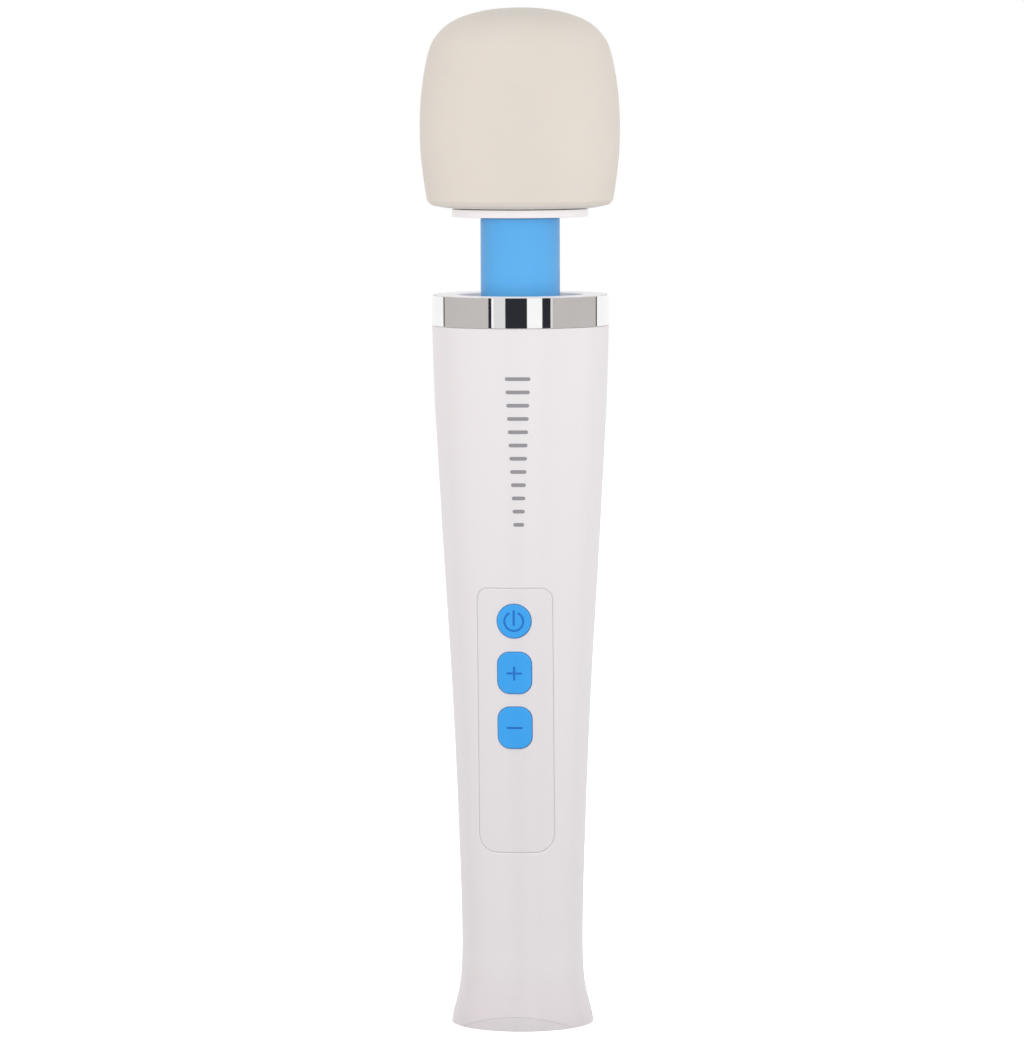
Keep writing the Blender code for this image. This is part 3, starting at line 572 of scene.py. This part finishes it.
def outline_block(name, outline, y0, y1):
    """A plain prism of an (x, z) outline along Y, for cutting."""
    bm = bmesh.new()
    a = [bm.verts.new((x * MM, y0 * MM, z * MM)) for x, z in outline]
    b = [bm.verts.new((x * MM, y1 * MM, z * MM)) for x, z in outline]
    bm.faces.new(a)
    bm.faces.new(b[::-1])
    for k in range(len(a)):
        j = (k + 1) % len(a)
        bm.faces.new((a[k], b[k], b[j], a[j]))
    return finish_mesh(name, bm, SHELL)


def done(obj, body, slot, *nodes):
    if nodes:
        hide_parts(*nodes)
    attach(obj, body)
    return obj


# ---------------------------------------------------------------- handle shells
def half_shell(name, front):
    """One half of the handle as a wall swept half way round, with fine rounding at its rims and along the seam."""
    heights = [FOOT_Z + 0.9]
    z = FOOT_Z + 2.0
    while z < SHELL_TOP - 1.2:
        heights.append(z)
        z += 1.3 if z < 30 else 2.0
    heights.append(SHELL_TOP - 0.8)
    outer = [(handle_r(SHELL_TOP) - 0.2, SHELL_TOP), (handle_r(SHELL_TOP) - 0.09, SHELL_TOP - 0.03), (handle_r(SHELL_TOP) - 0.03, SHELL_TOP - 0.09), (handle_r(SHELL_TOP), SHELL_TOP - 0.2)]
    outer += [(handle_r(z), z) for z in reversed(heights)]
    foot = handle_r(FOOT_Z)
    outer += [(foot - 0.01, FOOT_Z + 0.2), (foot - 0.03, FOOT_Z + 0.1), (foot - 0.09, FOOT_Z + 0.03), (foot - 0.2, FOOT_Z)]
    inner = [(foot - WALL, FOOT_Z)]
    inner += [(handle_r(z) - WALL, z) for z in (4, 8, 12, 17, 23, 32, 47, 65, 85, 105, 130, 160, 190, 205, 214)]
    inner += [(handle_r(SHELL_TOP) - WALL, SHELL_TOP)]
    profile = [(r, z, True) for r, z in outer] + [(r, z, False) for r, z in inner]
    segments = 96
    # distance from the seam plane and how far the outer skin dips there
    lips = [(0.06, 0.22), (0.12, 0.09), (0.22, 0.02), (0.36, 0.0)]
    bm = bmesh.new()
    start = math.pi if front else 0.0
    columns = []
    ends = [(i, d, dip) for i, (d, dip) in enumerate(lips)]
    for _, d, dip in ends:
        columns.append(("low", d, dip))
    for k in range(1, segments):
        columns.append(("arc", k / segments, 0.0))
    for _, d, dip in reversed(ends):
        columns.append(("high", d, dip))
    grid = []
    for kind, value, dip in columns:
        column = []
        for r, z, outside in profile:
            rr = r - (dip if outside else 0.0)
            if kind == "arc":
                a = math.pi * value
            else:
                a = math.asin(min(1.0, value / rr))
                if kind == "high":
                    a = math.pi - a
            column.append(bm.verts.new((rr * math.cos(start + a) * MM, rr * math.sin(start + a) * MM, z * MM)))
        grid.append(column)
    rows = len(profile)
    for a, b in zip(grid, grid[1:]):
        for k in range(rows):
            j = (k + 1) % rows
            bm.faces.new((a[k], b[k], b[j], a[j]))
    bm.faces.new(grid[0])
    bm.faces.new(grid[-1][::-1])
    return finish_mesh(name, bm, SHELL, 35)


def panel_outline(grow):
    return rr_outline(PANEL_W, PANEL_Z0, PANEL_Z1, PANEL_R_FOOT, PANEL_R_TOP, grow, corner=10, side=40, end=8)


front = half_shell("front_shell_skin", True)
pocket = wrapped(
    "pocket", panel_outline,
    [(-PANEL_W / 2, -6.0), (0.56, -6.0), (0.52, -0.1), (0.42, 0.003), (0.33, 0.025), (0.24, 0.07), (0.16, 0.13), (0.09, 0.19), (0.04, 0.25), (0.03, 0.34), (0.03, PANEL_T + 0.3)]
    + [(-PANEL_W / 2 * k / 10, PANEL_T + 0.3) for k in range(1, 11)],
    SHELL,
)
cut(front, pocket)
for key, z, height in BUTTONS:
    ring = circle_outline(z, BUTTON_W / 2, 0.3) if key == "power" else rr_outline(
        BUTTON_W, z - height / 2, z + height / 2, BUTTON_CORNER, BUTTON_CORNER, 0.3)
    cut(front, outline_block("hole", ring, -40, -12))


def arch_outline(width, height, count=24, low=-3.0, foot=FOOT_Z):
    radius = (width**2 / 4 + height**2) / (2 * height)
    half = math.asin(width / 2 / radius)
    top = [
        (radius * math.sin(a), foot + height - radius + radius * math.cos(a))
        for a in (half - 2 * half * k / count for k in range(count + 1))
    ]
    return [(width / 2, low)] + top + [(-width / 2, low)]


cut(front, wrapped(
    "arch", lambda grow: arch_outline(35.0 + 3.2 * grow, 4.2 + grow, low=-3.0 - grow, foot=0.3),
    [(-3.0, -7.0), (0.12, -7.0), (0.1, -0.03), (0.05, 0.015), (0.02, 0.04), (0.0, 0.08), (0.0, 4.0), (-3.0, 4.0)], SHELL,
))
true_normals(resharpen(front))
done(front, "handle", "white_gloss_plastic", "front_shell")

rear = half_shell("rear_shell_skin", False)
for x, z in SHELL_SCREWS:
    bm = bmesh.new()
    mouth = math.sqrt(handle_r(z) ** 2 - x * x)
    rows = [(1.5, -1.0), (1.5, 7.0), (2.7, 7.0), (2.7, mouth - 0.8), (3.1, mouth + 0.6), (3.1, 40)]
    rings = [
        [bm.verts.new(((x + r * math.cos(TAU * k / 40)) * MM, y * MM, (z + r * math.sin(TAU * k / 40)) * MM)) for k in range(40)]
        for r, y in rows
    ]
    for a, b in zip(rings, rings[1:]):
        for k in range(40):
            j = (k + 1) % 40
            bm.faces.new((a[k], a[j], b[j], b[k]))
    bm.faces.new(rings[0])
    bm.faces.new(rings[-1][::-1])
    well = finish_mesh("well", bm, SHELL)
    post_bm = bmesh.new()
    wall_r = handle_r(z) - 0.8
    reach = math.sqrt(wall_r**2 - (abs(x) + 3.9) ** 2)
    rows = [(3.9, 0.45), (3.9, reach - 0.2)]
    rings = [
        [post_bm.verts.new(((x + r * math.cos(TAU * k / 40)) * MM, y * MM, (z + r * math.sin(TAU * k / 40)) * MM)) for k in range(40)]
        for r, y in rows
    ]
    for a, b in zip(rings, rings[1:]):
        for k in range(40):
            j = (k + 1) % 40
            post_bm.faces.new((a[k], a[j], b[j], b[k]))
    post_bm.faces.new(rings[0])
    post_bm.faces.new(rings[-1][::-1])
    post = finish_mesh("post", post_bm, SHELL)
    cut(rear, post, "UNION")
    cut(rear, well)
true_normals(resharpen(rear))
done(rear, "handle", "white_gloss_plastic", "rear_shell")

# ---------------------------------------------------------------- button panel
lip = [(-0.44, 0.022), (-0.35, 0.04), (-0.26, 0.08), (-0.17, 0.135), (-0.08, 0.2), (-0.03, 0.25), (0.0, 0.36)]
panel = wrapped(
    "button_panel_skin", panel_outline,
    [(-PANEL_W / 2 + (PANEL_W / 2 - 0.5) * k / 12, 0.02) for k in range(13)] + lip + [(0.0, PANEL_T), (-1.0, PANEL_T)]
    + [(-PANEL_W / 2 * t, PANEL_T) for t in (0.3, 0.6, 0.8, 0.95, 1.0)],
    PANEL_WHITE,
)
for key, z, height in BUTTONS:
    def hole_outline(grow, key=key, z=z, height=height):
        if key == "power":
            return circle_outline(z, BUTTON_W / 2, grow + 0.14)
        return rr_outline(BUTTON_W, z - height / 2, z + height / 2, BUTTON_CORNER, BUTTON_CORNER, grow + 0.14, corner=10, side=8, end=4)
    cutter = wrapped(
        "button_hole", hole_outline,
        [(-4.0, -1.2), (0.22, -1.2), (0.2, -0.1), (0.1, 0.04), (0.03, 0.12), (0.0, 0.24), (0.0, 3.0), (-4.0, 3.0)], PANEL_WHITE,
    )
    cut(panel, cutter)
true_normals(resharpen(panel))
done(panel, "handle", "white_gloss_plastic", "button_panel")


# ---------------------------------------------------------------- buttons with sunk symbols
def arc_points(cz, radius, a0, a1, count=28, cx=0.0):
    return [
        (cx + radius * math.cos(math.radians(a0 + (a1 - a0) * k / count)), cz + radius * math.sin(math.radians(a0 + (a1 - a0) * k / count)))
        for k in range(count + 1)
    ]


PROUD = 0.5
for key, z, height in BUTTONS:
    half = BUTTON_W / 2

    def cap_outline(grow, key=key, z=z, height=height):
        if key == "power":
            return circle_outline(z, BUTTON_W / 2, grow)
        return rr_outline(BUTTON_W, z - height / 2, z + height / 2, BUTTON_CORNER, BUTTON_CORNER, grow, corner=10, side=10, end=6)

    top = [(-half * (1 - k / 10), -PROUD - 0.06 * (1 - (k / 10) ** 2)) for k in range(10)]
    rim = [(-0.42, -PROUD), (-0.24, -PROUD + 0.04), (-0.09, -PROUD + 0.14), (0.0, -PROUD + 0.34)]
    cap = wrapped(key + "_button_cap", cap_outline, top + rim + [(0.0, 3.2), (-half, 3.2)], [BUTTON, SYMBOL])
    flat_y = (handle_r(z - height / 2 - 1.6) - WALL) ** 2
    flange_y = -(math.sqrt(flat_y - 49.0) - 0.45)
    under = cap_outline(1.3) if key == "power" else rr_outline(
        BUTTON_W, z - height / 2, z + height / 2, BUTTON_CORNER, BUTTON_CORNER, 1.3)
    cut(cap, outline_block("flange", under, flange_y, flange_y + 0.9), "UNION")
    bm = bmesh.new()
    low_y, high_y = flange_y + 0.5, SWITCH_FRONT - 1.1
    rings = [
        [bm.verts.new((1.8 * math.cos(TAU * k / 32) * MM, y * MM, (z + 1.8 * math.sin(TAU * k / 32)) * MM)) for k in range(32)]
        for y in (low_y, high_y)
    ]
    for k in range(32):
        j = (k + 1) % 32
        bm.faces.new((rings[0][k], rings[0][j], rings[1][j], rings[1][k]))
    bm.faces.new(rings[0])
    bm.faces.new(rings[1][::-1])
    cut(cap, finish_mesh("stem", bm, BUTTON), "UNION")
    bm = bmesh.new()
    marks = []
    if key == "power":
        marks = [(arc_points(z - 0.05, 2.95, 122, 418), 0.64), ([(0, z - 1.1), (0, z + 3.2)], 0.64)]
    elif key == "plus":
        marks = [([(-2.15, z - 0.1), (2.15, z - 0.1)], 0.62), ([(0, z - 2.0), (0, z + 1.8)], 0.62)]
    else:
        marks = [([(-2.15, z), (2.15, z)], 0.62)]
    for count, (points, width) in enumerate(marks):
        bm = bmesh.new()
        stroke(bm, points, width, -PROUD - 1.0 - 0.07 * count, -PROUD + 0.24 + 0.013 * count)
        cutter = finish_mesh("symbol", bm, [BUTTON, SYMBOL])
        for polygon in cutter.data.polygons:
            polygon.material_index = 1
        cut(cap, cutter)
    resharpen(cap)
    done(cap, key + "_button", "blue_button", key + "_button")

# ---------------------------------------------------------------- printed mark: a plain graduated scale
bm = bmesh.new()
mark_x = 1.8
for k in range(12):
    z = 205.1 - k * 4.13
    span = 1.1 + 2.3 * (1 - k / 11)
    stroke(bm, [(mark_x - span, z), (mark_x + span, z)], 1.15, -0.03, 0.05)
mark = finish_mesh("printed_scale", bm, MARK)
done(mark, "handle", "white_gloss_plastic")

# ---------------------------------------------------------------- end cap
cap_profile = rounded([
    (18.3, 6.2, 0.4), (18.75, 4.2), (19.2, 2.6), (19.75, 0.0, 0.7), (17.4, 0.0), (17.2, 0.35, 0.15), (16.6, 0.35, 0.15), (16.4, 0.0),
    (9.4, 0.0), (9.2, 0.25, 0.1), (8.6, 0.25, 0.1), (8.4, 0.0), (6.6, 0.0, 0.5), (6.6, 7.0, 0.2),
    (5.5, 7.0), (5.5, 16.0), (8.3, 16.0, 0.3), (8.3, 2.6, 0.4), (16.8, 2.6, 0.4), (16.8, 6.2, 0.3),
])
foot = lathe("end_cap_skin", cap_profile, 128, FOOT_WHITE)
tongue = lathe("tongue", rounded([(handle_r(5.3) - 0.05, 5.3), (handle_r(3.9) - 0.05, 3.9), (handle_r(2.5) - 0.05, 2.5), (handle_r(1.2) - 0.05, 1.2), (handle_r(0.12) - 0.05, 0.12, 0.2), (17.6, 0.12), (17.6, 5.3)]), 256, FOOT_WHITE)
cut(tongue, outline_block("arch_face", arch_outline(34.98, 4.185, low=-0.01, foot=0.3), -30, -8), "INTERSECT")
cut(foot, tongue, "UNION")
resharpen(foot)
done(foot, "handle", "white_gloss_plastic", "end_cap")

inlet = lathe("power_inlet_body", rounded([
    (0, 19.0), (5.2, 19.0, 0.3), (5.2, 7.3, 0.25), (3.2, 7.3, 0.3), (3.2, 17.4), (0, 17.4),
], closed=False), 64, BLACK, closed=False)
done(inlet, "handle", "black_plastic", "power_inlet")
pin = lathe("inlet_pin_tip", rounded([
    (0, 17.1), (2.0, 17.1), (2.0, 16.2), (1.0, 16.2), (1.0, 9.7, 0.3), (0.6, 9.2, 0.2), (0, 9.2),
], closed=False), 48, STEEL, closed=False)
done(pin, "handle", "steel", "inlet_pin")

# ---------------------------------------------------------------- collar
ring = lathe("chrome_ring_band", rounded([
    (27.9, 230.2, 0.12), (27.86, 220.74, 0.1), (25.5, 220.74, 0.2), (25.5, 230.2, 0.2),
], steps=4), 256, CHROME)
done(ring, "handle", "chrome", "chrome_ring")

cap = lathe("top_cap_skin", rounded([
    (27.4, 230.38, 0.1), (27.4, 230.24, 0.03), (25.1, 230.24, 0.2), (25.1, 215.0, 0.4), (23.1, 215.0, 0.4), (23.1, 226.0, 0.5),
    (12.85, 226.0, 0.3), (12.85, 227.6, 0.35), (18.7, 227.9, 0.4), (19.6, 230.05, 0.15), (20.2, 230.38, 0.2),
]), 192, [CAP_WHITE, CAP_PAINTED_SHADE])
# the faces below the rim, in the recess, take the painted-shade white
for polygon in cap.data.polygons:
    if polygon.center.z < 230.2 * MM:
        polygon.material_index = 1
done(cap, "handle", "white_gloss_plastic", "top_cap")

# ---------------------------------------------------------------- neck sleeve in two halves
def sleeve(name, rows_out, rows_in):
    return lathe(name, rows_out + rows_in, 128, NECK, angle=40)


SPLIT = 242.0
low_out = [(12.45, SPLIT - k * 1.0) for k in range(16)]
low_out += [(12.5, 226.1), (12.7, 225.8), (13.15, 225.7), (15.7, 225.7), (16.0, 225.4), (16.0, 223.4), (15.7, 223.1)]
low_in = [(11.0, 223.1), (10.7, 223.4)] + [(10.7, 224.5 + k * (SPLIT - 224.5) / 14) for k in range(15)]
lower = sleeve("neck_sleeve_lower", low_out, low_in)
high_out = [(12.05, 254.3), (12.22, 254.26), (12.36, 254.15), (12.44, 254.0), (12.45, 253.8)]
high_out += [(12.45, 253.3 - k * (253.3 - SPLIT) / 12) for k in range(13)]
high_in = [(10.7, SPLIT + k * (253.9 - SPLIT) / 12) for k in range(13)] + [(11.0, 254.3)]
upper = sleeve("neck_sleeve_upper", high_out, high_in)


def swept(name, route, radius, material, sides=12):
    """A round wire along a route of points in mm, its section kept upright to the route."""
    bm = bmesh.new()
    points = [Vector(p) * MM for p in route]
    rings = []
    for i, p in enumerate(points):
        way = (points[min(i + 1, len(points) - 1)] - points[max(i - 1, 0)]).normalized()
        out = Vector((p.x, p.y, 0)).normalized()
        out = (out - way * out.dot(way)).normalized()
        up = way.cross(out)
        rings.append([
            bm.verts.new(p + (out * math.cos(TAU * k / sides) + up * math.sin(TAU * k / sides)) * radius * MM)
            for k in range(sides)
        ])
    for a, b in zip(rings, rings[1:]):
        for k in range(sides):
            j = (k + 1) % sides
            bm.faces.new((a[k], a[j], b[j], b[k]))
    bm.faces.new(rings[0][::-1])
    bm.faces.new(rings[-1])
    return finish_mesh(name, bm, material, 50)


def coil(z0, z1):
    """Points of the neck spring between two heights."""
    low, high, turns = 222.15, 259.7, 7
    count = max(2, round((z1 - z0) / (high - low) * turns * 40))
    route = []
    for k in range(count + 1):
        z = z0 + (z1 - z0) * k / count
        a = TAU * turns * (z - low) / (high - low)
        route.append((8.3 * math.cos(a), 8.3 * math.sin(a), z))
    return route


def wound(name, z0, z1):
    """A length of the flexible drive shaft: close-wound wire, as one ridge per turn."""
    count = round((z1 - z0) / 0.62)
    pitch = (z1 - z0) / count
    rows = [(0, z1), (1.8, z1)]
    for k in range(count):
        top = z1 - k * pitch
        rows += [(1.96, top - pitch * 0.25), (2.0, top - pitch * 0.5), (1.96, top - pitch * 0.75), (1.84, top - pitch)]
    rows[-1] = (1.8, z0)
    return lathe(name, rows + [(0, z0)], 32, SPRING_STEEL, closed=False, angle=60)


lower_spring = swept("neck_spring_lower", coil(222.15, SPLIT), 0.75, SPRING_STEEL)
upper_spring = swept("neck_spring_upper", coil(SPLIT, 259.7), 0.75, SPRING_STEEL)
lower_flex = wound("flex_shaft_lower", 217.5, SPLIT)
upper_flex = wound("flex_shaft_upper", SPLIT, 256.0)
for pieces, a, b, z0, z1 in (
    ((lower, lower_spring, lower_flex), "handle", "neck_mid", 0.2291, 0.2419),
    ((upper, upper_spring, upper_flex), "neck_mid", "head", 0.2421, 0.2543),
):
    for piece, node, slot in zip(pieces, ("neck_sleeve", "neck_spring", "flex_shaft"), ("blue_silicone", "steel", "steel")):
        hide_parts(node)
        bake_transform(piece)

# ---------------------------------------------------------------- head
PLATE_BOLTS = [(15.0 * math.cos(math.radians(a)), 15.0 * math.sin(math.radians(a))) for a in (90, 210, 330)]


def drill(obj, x, y, steps, segments=40):
    """Cuts a stepped round hole along Z: steps are (radius, height), in order."""
    cutter = lathe("drill", [(0, steps[0][1])] + list(steps) + [(0, steps[-1][1])], segments, SHELL, closed=False, shift=(x, y))
    return cut(obj, cutter)


plate = lathe("head_plate_skin", rounded([
    (21.4, 257.12, 0.2), (21.4, 254.65, 0.5), (9.4, 254.65, 0.3), (9.4, 257.12, 0.2),
]), 160, PLATE_WHITE)
for x, y in PLATE_BOLTS:
    drill(plate, x, y, [(1.3, 258.0), (1.3, 255.8), (2.4, 255.8), (2.4, 254.8), (2.7, 254.4)])
resharpen(plate)
done(plate, "head", "white_gloss_plastic", "head_plate")

core_low = lathe("core_base_body", rounded([
    (20.0, 284.0, 0.2), (20.0, 258.3, 0.1), (19.1, 258.1), (19.1, 257.22), (9.4, 257.22, 0.2), (9.4, 260.9, 0.2), (5.2, 260.9, 0.2),
    (5.2, 262.0), (8.3, 262.0), (8.3, 267.4, 0.2), (10.8, 267.4, 0.4), (10.8, 263.4, 0.5), (17.4, 263.4, 0.5), (17.4, 284.0, 0.2),
]), 128, CORE_WHITE)
for x, y in PLATE_BOLTS:
    drill(core_low, x, y, [(1.15, 262.2), (1.15, 257.9), (1.5, 257.0)])
resharpen(core_low)
done(core_low, "head", "white_gloss_plastic", "core_base")
core_high = lathe("core_cap_body", rounded([
    (0, 302.0), (11.0, 301.0, 2.0), (17.0, 297.5, 2.0), (20.0, 291.0, 1.5), (20.0, 284.3, 0.2), (17.4, 284.3, 0.2), (17.4, 293.0, 0.8),
    (10.8, 295.5, 0.4), (10.8, 292.5, 0.3), (8.3, 292.5, 0.2), (8.3, 297.8), (0, 297.8),
], closed=False), 128, CORE_WHITE, closed=False)
done(core_high, "head", "white_gloss_plastic", "core_cap")
for name, z0, z1 in (("lower_bearing", 262.3, 267.2), ("upper_bearing", 292.7, 297.5)):
    race = lathe(name + "_races", rounded([
        (8.0, z1, 0.25), (8.0, z0, 0.25), (6.8, z0, 0.1), (6.7, z0 + 0.35), (4.1, z0 + 0.35), (4.0, z0, 0.1), (2.75, z0, 0.2),
        (2.75, z1, 0.2), (4.0, z1, 0.1), (4.1, z1 - 0.35), (6.7, z1 - 0.35), (6.8, z1, 0.1),
    ], steps=3), 72, STEEL)
    done(race, "head", "steel", name)


def smooth(points, steps=4):
    """A centripetal Catmull-Rom curve through points of (r, z), the first of them on the axis."""
    ext = [Vector((-points[1][0], points[1][1]))] + [Vector(p) for p in points]
    ext.append(2 * ext[-1] - ext[-2])
    out = []
    for p in zip(ext, ext[1:], ext[2:], ext[3:]):
        knot = [0.0]
        for a, b in zip(p, p[1:]):
            knot.append(knot[-1] + math.sqrt((b - a).length))

        def between(a, b, i, j, t):
            return ((knot[j] - t) * a + (t - knot[i]) * b) / (knot[j] - knot[i])

        for k in range(steps):
            t = knot[1] + (knot[2] - knot[1]) * k / steps
            a0, a1, a2 = (between(p[i], p[i + 1], i, i + 1, t) for i in range(3))
            b0, b1 = between(a0, a1, 0, 2, t), between(a1, a2, 1, 3, t)
            c = between(b0, b1, 1, 2, t)
            out.append((min(31.35, max(0.0, c.x)), c.y))
    out.append(tuple(points[-1]))
    return out


profile = smooth(DOME)
profile += rounded([
    (29.6, 262.3), (29.2, 259.75, 1.4), (27.8, 258.35, 1.1), (23.5, 257.5, 0.3), (20.3, 257.4, 0.15), (20.3, 258.6),
], closed=False, steps=8)[1:]
profile += [(20.3, z) for z in (264, 270, 276, 282, 288, 291.2)] + [(17.3, 297.8), (11.2, 301.3), (0.0, 302.3)]
head = lathe("silicone_head_skin", profile, 192, HEAD, closed=False, angle=50)
done(head, "head", "ivory_silicone", "silicone_head")

# ---------------------------------------------------------------- materials for the CAD pieces that stay
KEEP = {
    STEEL: ["motor_can", "motor_coupler", "eccentric_shaft", "head_coupler",
            *[f"shell_screw_{i}" for i in (1, 2, 3, 4)], *[f"neck_screw_{i}" for i in (1, 2, 3)], *[f"plate_screw_{i}" for i in (1, 2, 3)],
            "board_screw_1", "board_screw_2", "motor_screw_1", "motor_screw_2"],
    BRASS: ["eccentric_weight"],
    COPPER: ["motor_rotor"],
    BOARD: ["control_board"],
    RED_RUBBER: ["motor_wire_red", "inlet_wire_red"],
    DARK_RUBBER: ["motor_isolator", "motor_wire_black", "inlet_wire_black"],
    BLACK: ["neck_mount", "motor_end_bell", "motor_mount", "motor_magnet_1", "motor_magnet_2",
            "power_switch", "plus_switch", "minus_switch", "power_plunger", "plus_plunger", "minus_plunger"],
}
for material, names in KEEP.items():
    for name in names:
        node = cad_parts[name]
        node.data.materials.clear()
        node.data.materials.append(material)

# ---------------------------------------------------------------- studio
world = bpy.data.worlds.new("studio")
bpy.context.scene.world = world
world.use_nodes = True
world.cycles.sampling_method = "NONE"
tree = world.node_tree
tree.nodes.clear()


def world_node(kind, inputs=None, **settings):
    made = tree.nodes.new(kind)
    for key, value in settings.items():
        setattr(made, key, value)
    for key, value in (inputs or {}).items():
        if isinstance(value, bpy.types.NodeSocket):
            tree.links.new(value, made.inputs[key])
        else:
            made.inputs[key].default_value = value
    return made


def grey(level):
    """A reflected grey, given as the display level 0 to 255 that it shows in the ring: flags are a cool black, cards a warm grey."""
    value = srgb(level, level, level)[0] / 0.93
    tone = (0.94, 0.96, 1.25) if level < 110 else (1.03, 0.985, 0.955) if level < 200 else (1.0, 1.0, 1.0)
    return tuple(value * t for t in tone) + (1.0,)


# cards and flags round the object: (to this bearing right of the camera, level); bearings run from -180 to 180
WHITE_CARD, PALE_CARD, WALL_GREY, FLAG = 246, 218, 187, 45
CARDS = [
    (-120, WHITE_CARD), (-117, FLAG), (-43, WALL_GREY), (-39, FLAG), (-36, WHITE_CARD), (-20, PALE_CARD), (-6, FLAG), (8, FLAG),
    (27, WHITE_CARD), (38, FLAG), (41, PALE_CARD), (115, WALL_GREY), (118, FLAG), (180, WHITE_CARD),
]
where = world_node("ShaderNodeTexCoord").outputs["Generated"]
split = world_node("ShaderNodeSeparateXYZ", {"Vector": where})
front_way = world_node("ShaderNodeMath", {0: split.outputs["Y"], 1: -1.0}, operation="MULTIPLY").outputs[0]
bearing = world_node("ShaderNodeMath", {0: split.outputs["X"], 1: front_way}, operation="ARCTAN2").outputs[0]
turned = world_node("ShaderNodeMath", {0: bearing, 1: math.radians(180 - EYE_AZ)}, operation="ADD").outputs[0]
looped = world_node("ShaderNodeMath", {0: turned, 1: TAU}, operation="FLOORED_MODULO").outputs[0]
share = world_node("ShaderNodeMath", {0: looped, 1: TAU}, operation="DIVIDE").outputs[0]
cards = world_node("ShaderNodeValToRGB", {"Fac": share})
cards.color_ramp.interpolation = "CONSTANT"
starts = [-180] + [edge for edge, _ in CARDS[:-1]]
while len(cards.color_ramp.elements) < len(CARDS):
    cards.color_ramp.elements.new(0.99)
for element, start, (_, level) in zip(cards.color_ramp.elements, starts, CARDS):
    element.position = (start + 180) / 360
    element.color = grey(level)
# a soft box overhead, and the pale table below
over = world_node("ShaderNodeMapRange", {"Value": split.outputs["Z"], "From Min": 0.55, "From Max": 0.62})
mirrored = world_node("ShaderNodeMix", {"Factor": over.outputs["Result"], "A": cards.outputs["Color"], "B": (1.1, 1.1, 1.1, 1)}, data_type="RGBA")
under = world_node("ShaderNodeMapRange", {"Value": split.outputs["Z"], "From Min": -0.62, "From Max": -0.7})
mirrored = world_node("ShaderNodeMix", {"Factor": under.outputs["Result"], "A": mirrored.outputs["Result"], "B": (0.75, 0.74, 0.745, 1)}, data_type="RGBA")

glow = world_node("ShaderNodeValToRGB", {"Fac": world_node("ShaderNodeMapRange", {"Value": split.outputs["Z"], "From Min": -1.0, "From Max": 1.0}).outputs["Result"]})
for place, level in ((0.0, 0.62), (0.3, 0.53), (0.45, 0.58), (0.55, 0.58), (0.75, 0.6), (0.88, 0.76), (1.0, 1.05)):
    element = glow.color_ramp.elements[0] if place == 0.0 else glow.color_ramp.elements[-1] if place == 1.0 else glow.color_ramp.elements.new(place)
    element.position = place
    element.color = (level, level, level, 1)

path = world_node("ShaderNodeLightPath")
seen = world_node("ShaderNodeMix", {"Factor": path.outputs["Is Glossy Ray"], "A": glow.outputs["Color"], "B": mirrored.outputs["Result"]}, data_type="RGBA")
seen = world_node("ShaderNodeMix", {"Factor": path.outputs["Is Camera Ray"], "A": seen.outputs["Result"], "B": (1, 1, 1, 1)}, data_type="RGBA")
background = world_node("ShaderNodeBackground", {"Color": seen.outputs["Result"], "Strength": 1.0})
world_node("ShaderNodeOutputWorld", {"Surface": background.outputs["Background"]})

# four soft lights at neck height, so that the handle falls off a little towards its foot
for name, turn, reach, power, tone in (
    ("key", 11, 0.46, 0.86, (1, 1, 1)), ("right", 100, 0.46, 0.46, (1, 0.99, 0.98)),
    ("back", 190, 0.46, 0.95, (1, 1, 1)), ("left", 280, 0.46, 0.5, (1, 0.94, 0.93)),
):
    light = bpy.data.lights.new(name, "AREA")
    light.shape = "DISK"
    light.size = 0.34
    light.energy = power
    light.color = tone
    lamp = bpy.data.objects.new(name, light)
    way = Vector((math.sin(math.radians(turn)), -math.cos(math.radians(turn)), 0))
    lamp.location = way * reach + Vector((0, 0, 0.252))
    lamp.rotation_mode = "QUATERNION"
    lamp.rotation_quaternion = way.to_track_quat("Z", "Y")
    lamp.visible_glossy = False
    lamp.visible_camera = False
    bpy.context.scene.collection.objects.link(lamp)

bm = bmesh.new()
bmesh.ops.create_circle(bm, cap_ends=True, cap_tris=False, segments=96, radius=3.0, matrix=Matrix.Translation((0, 0, -0.00002)))
floor_shader = Shader("studio_floor", Roughness=0.7)
floor_shader.link(floor_shader.ramp(floor_shader.noise(3.0, 3.0), [(0.3, (0.90, 0.90, 0.90, 1)), (0.7, (0.93, 0.93, 0.93, 1))]), "Base Color")
floor_shader.bsdf.inputs["Emission Color"].default_value = (1, 1, 1, 1)
floor_shader.bsdf.inputs["Emission Strength"].default_value = 0.62
floor = finish_mesh("studio_floor", bm, floor_shader.material)
floor.visible_glossy = False
floor.visible_diffuse = False
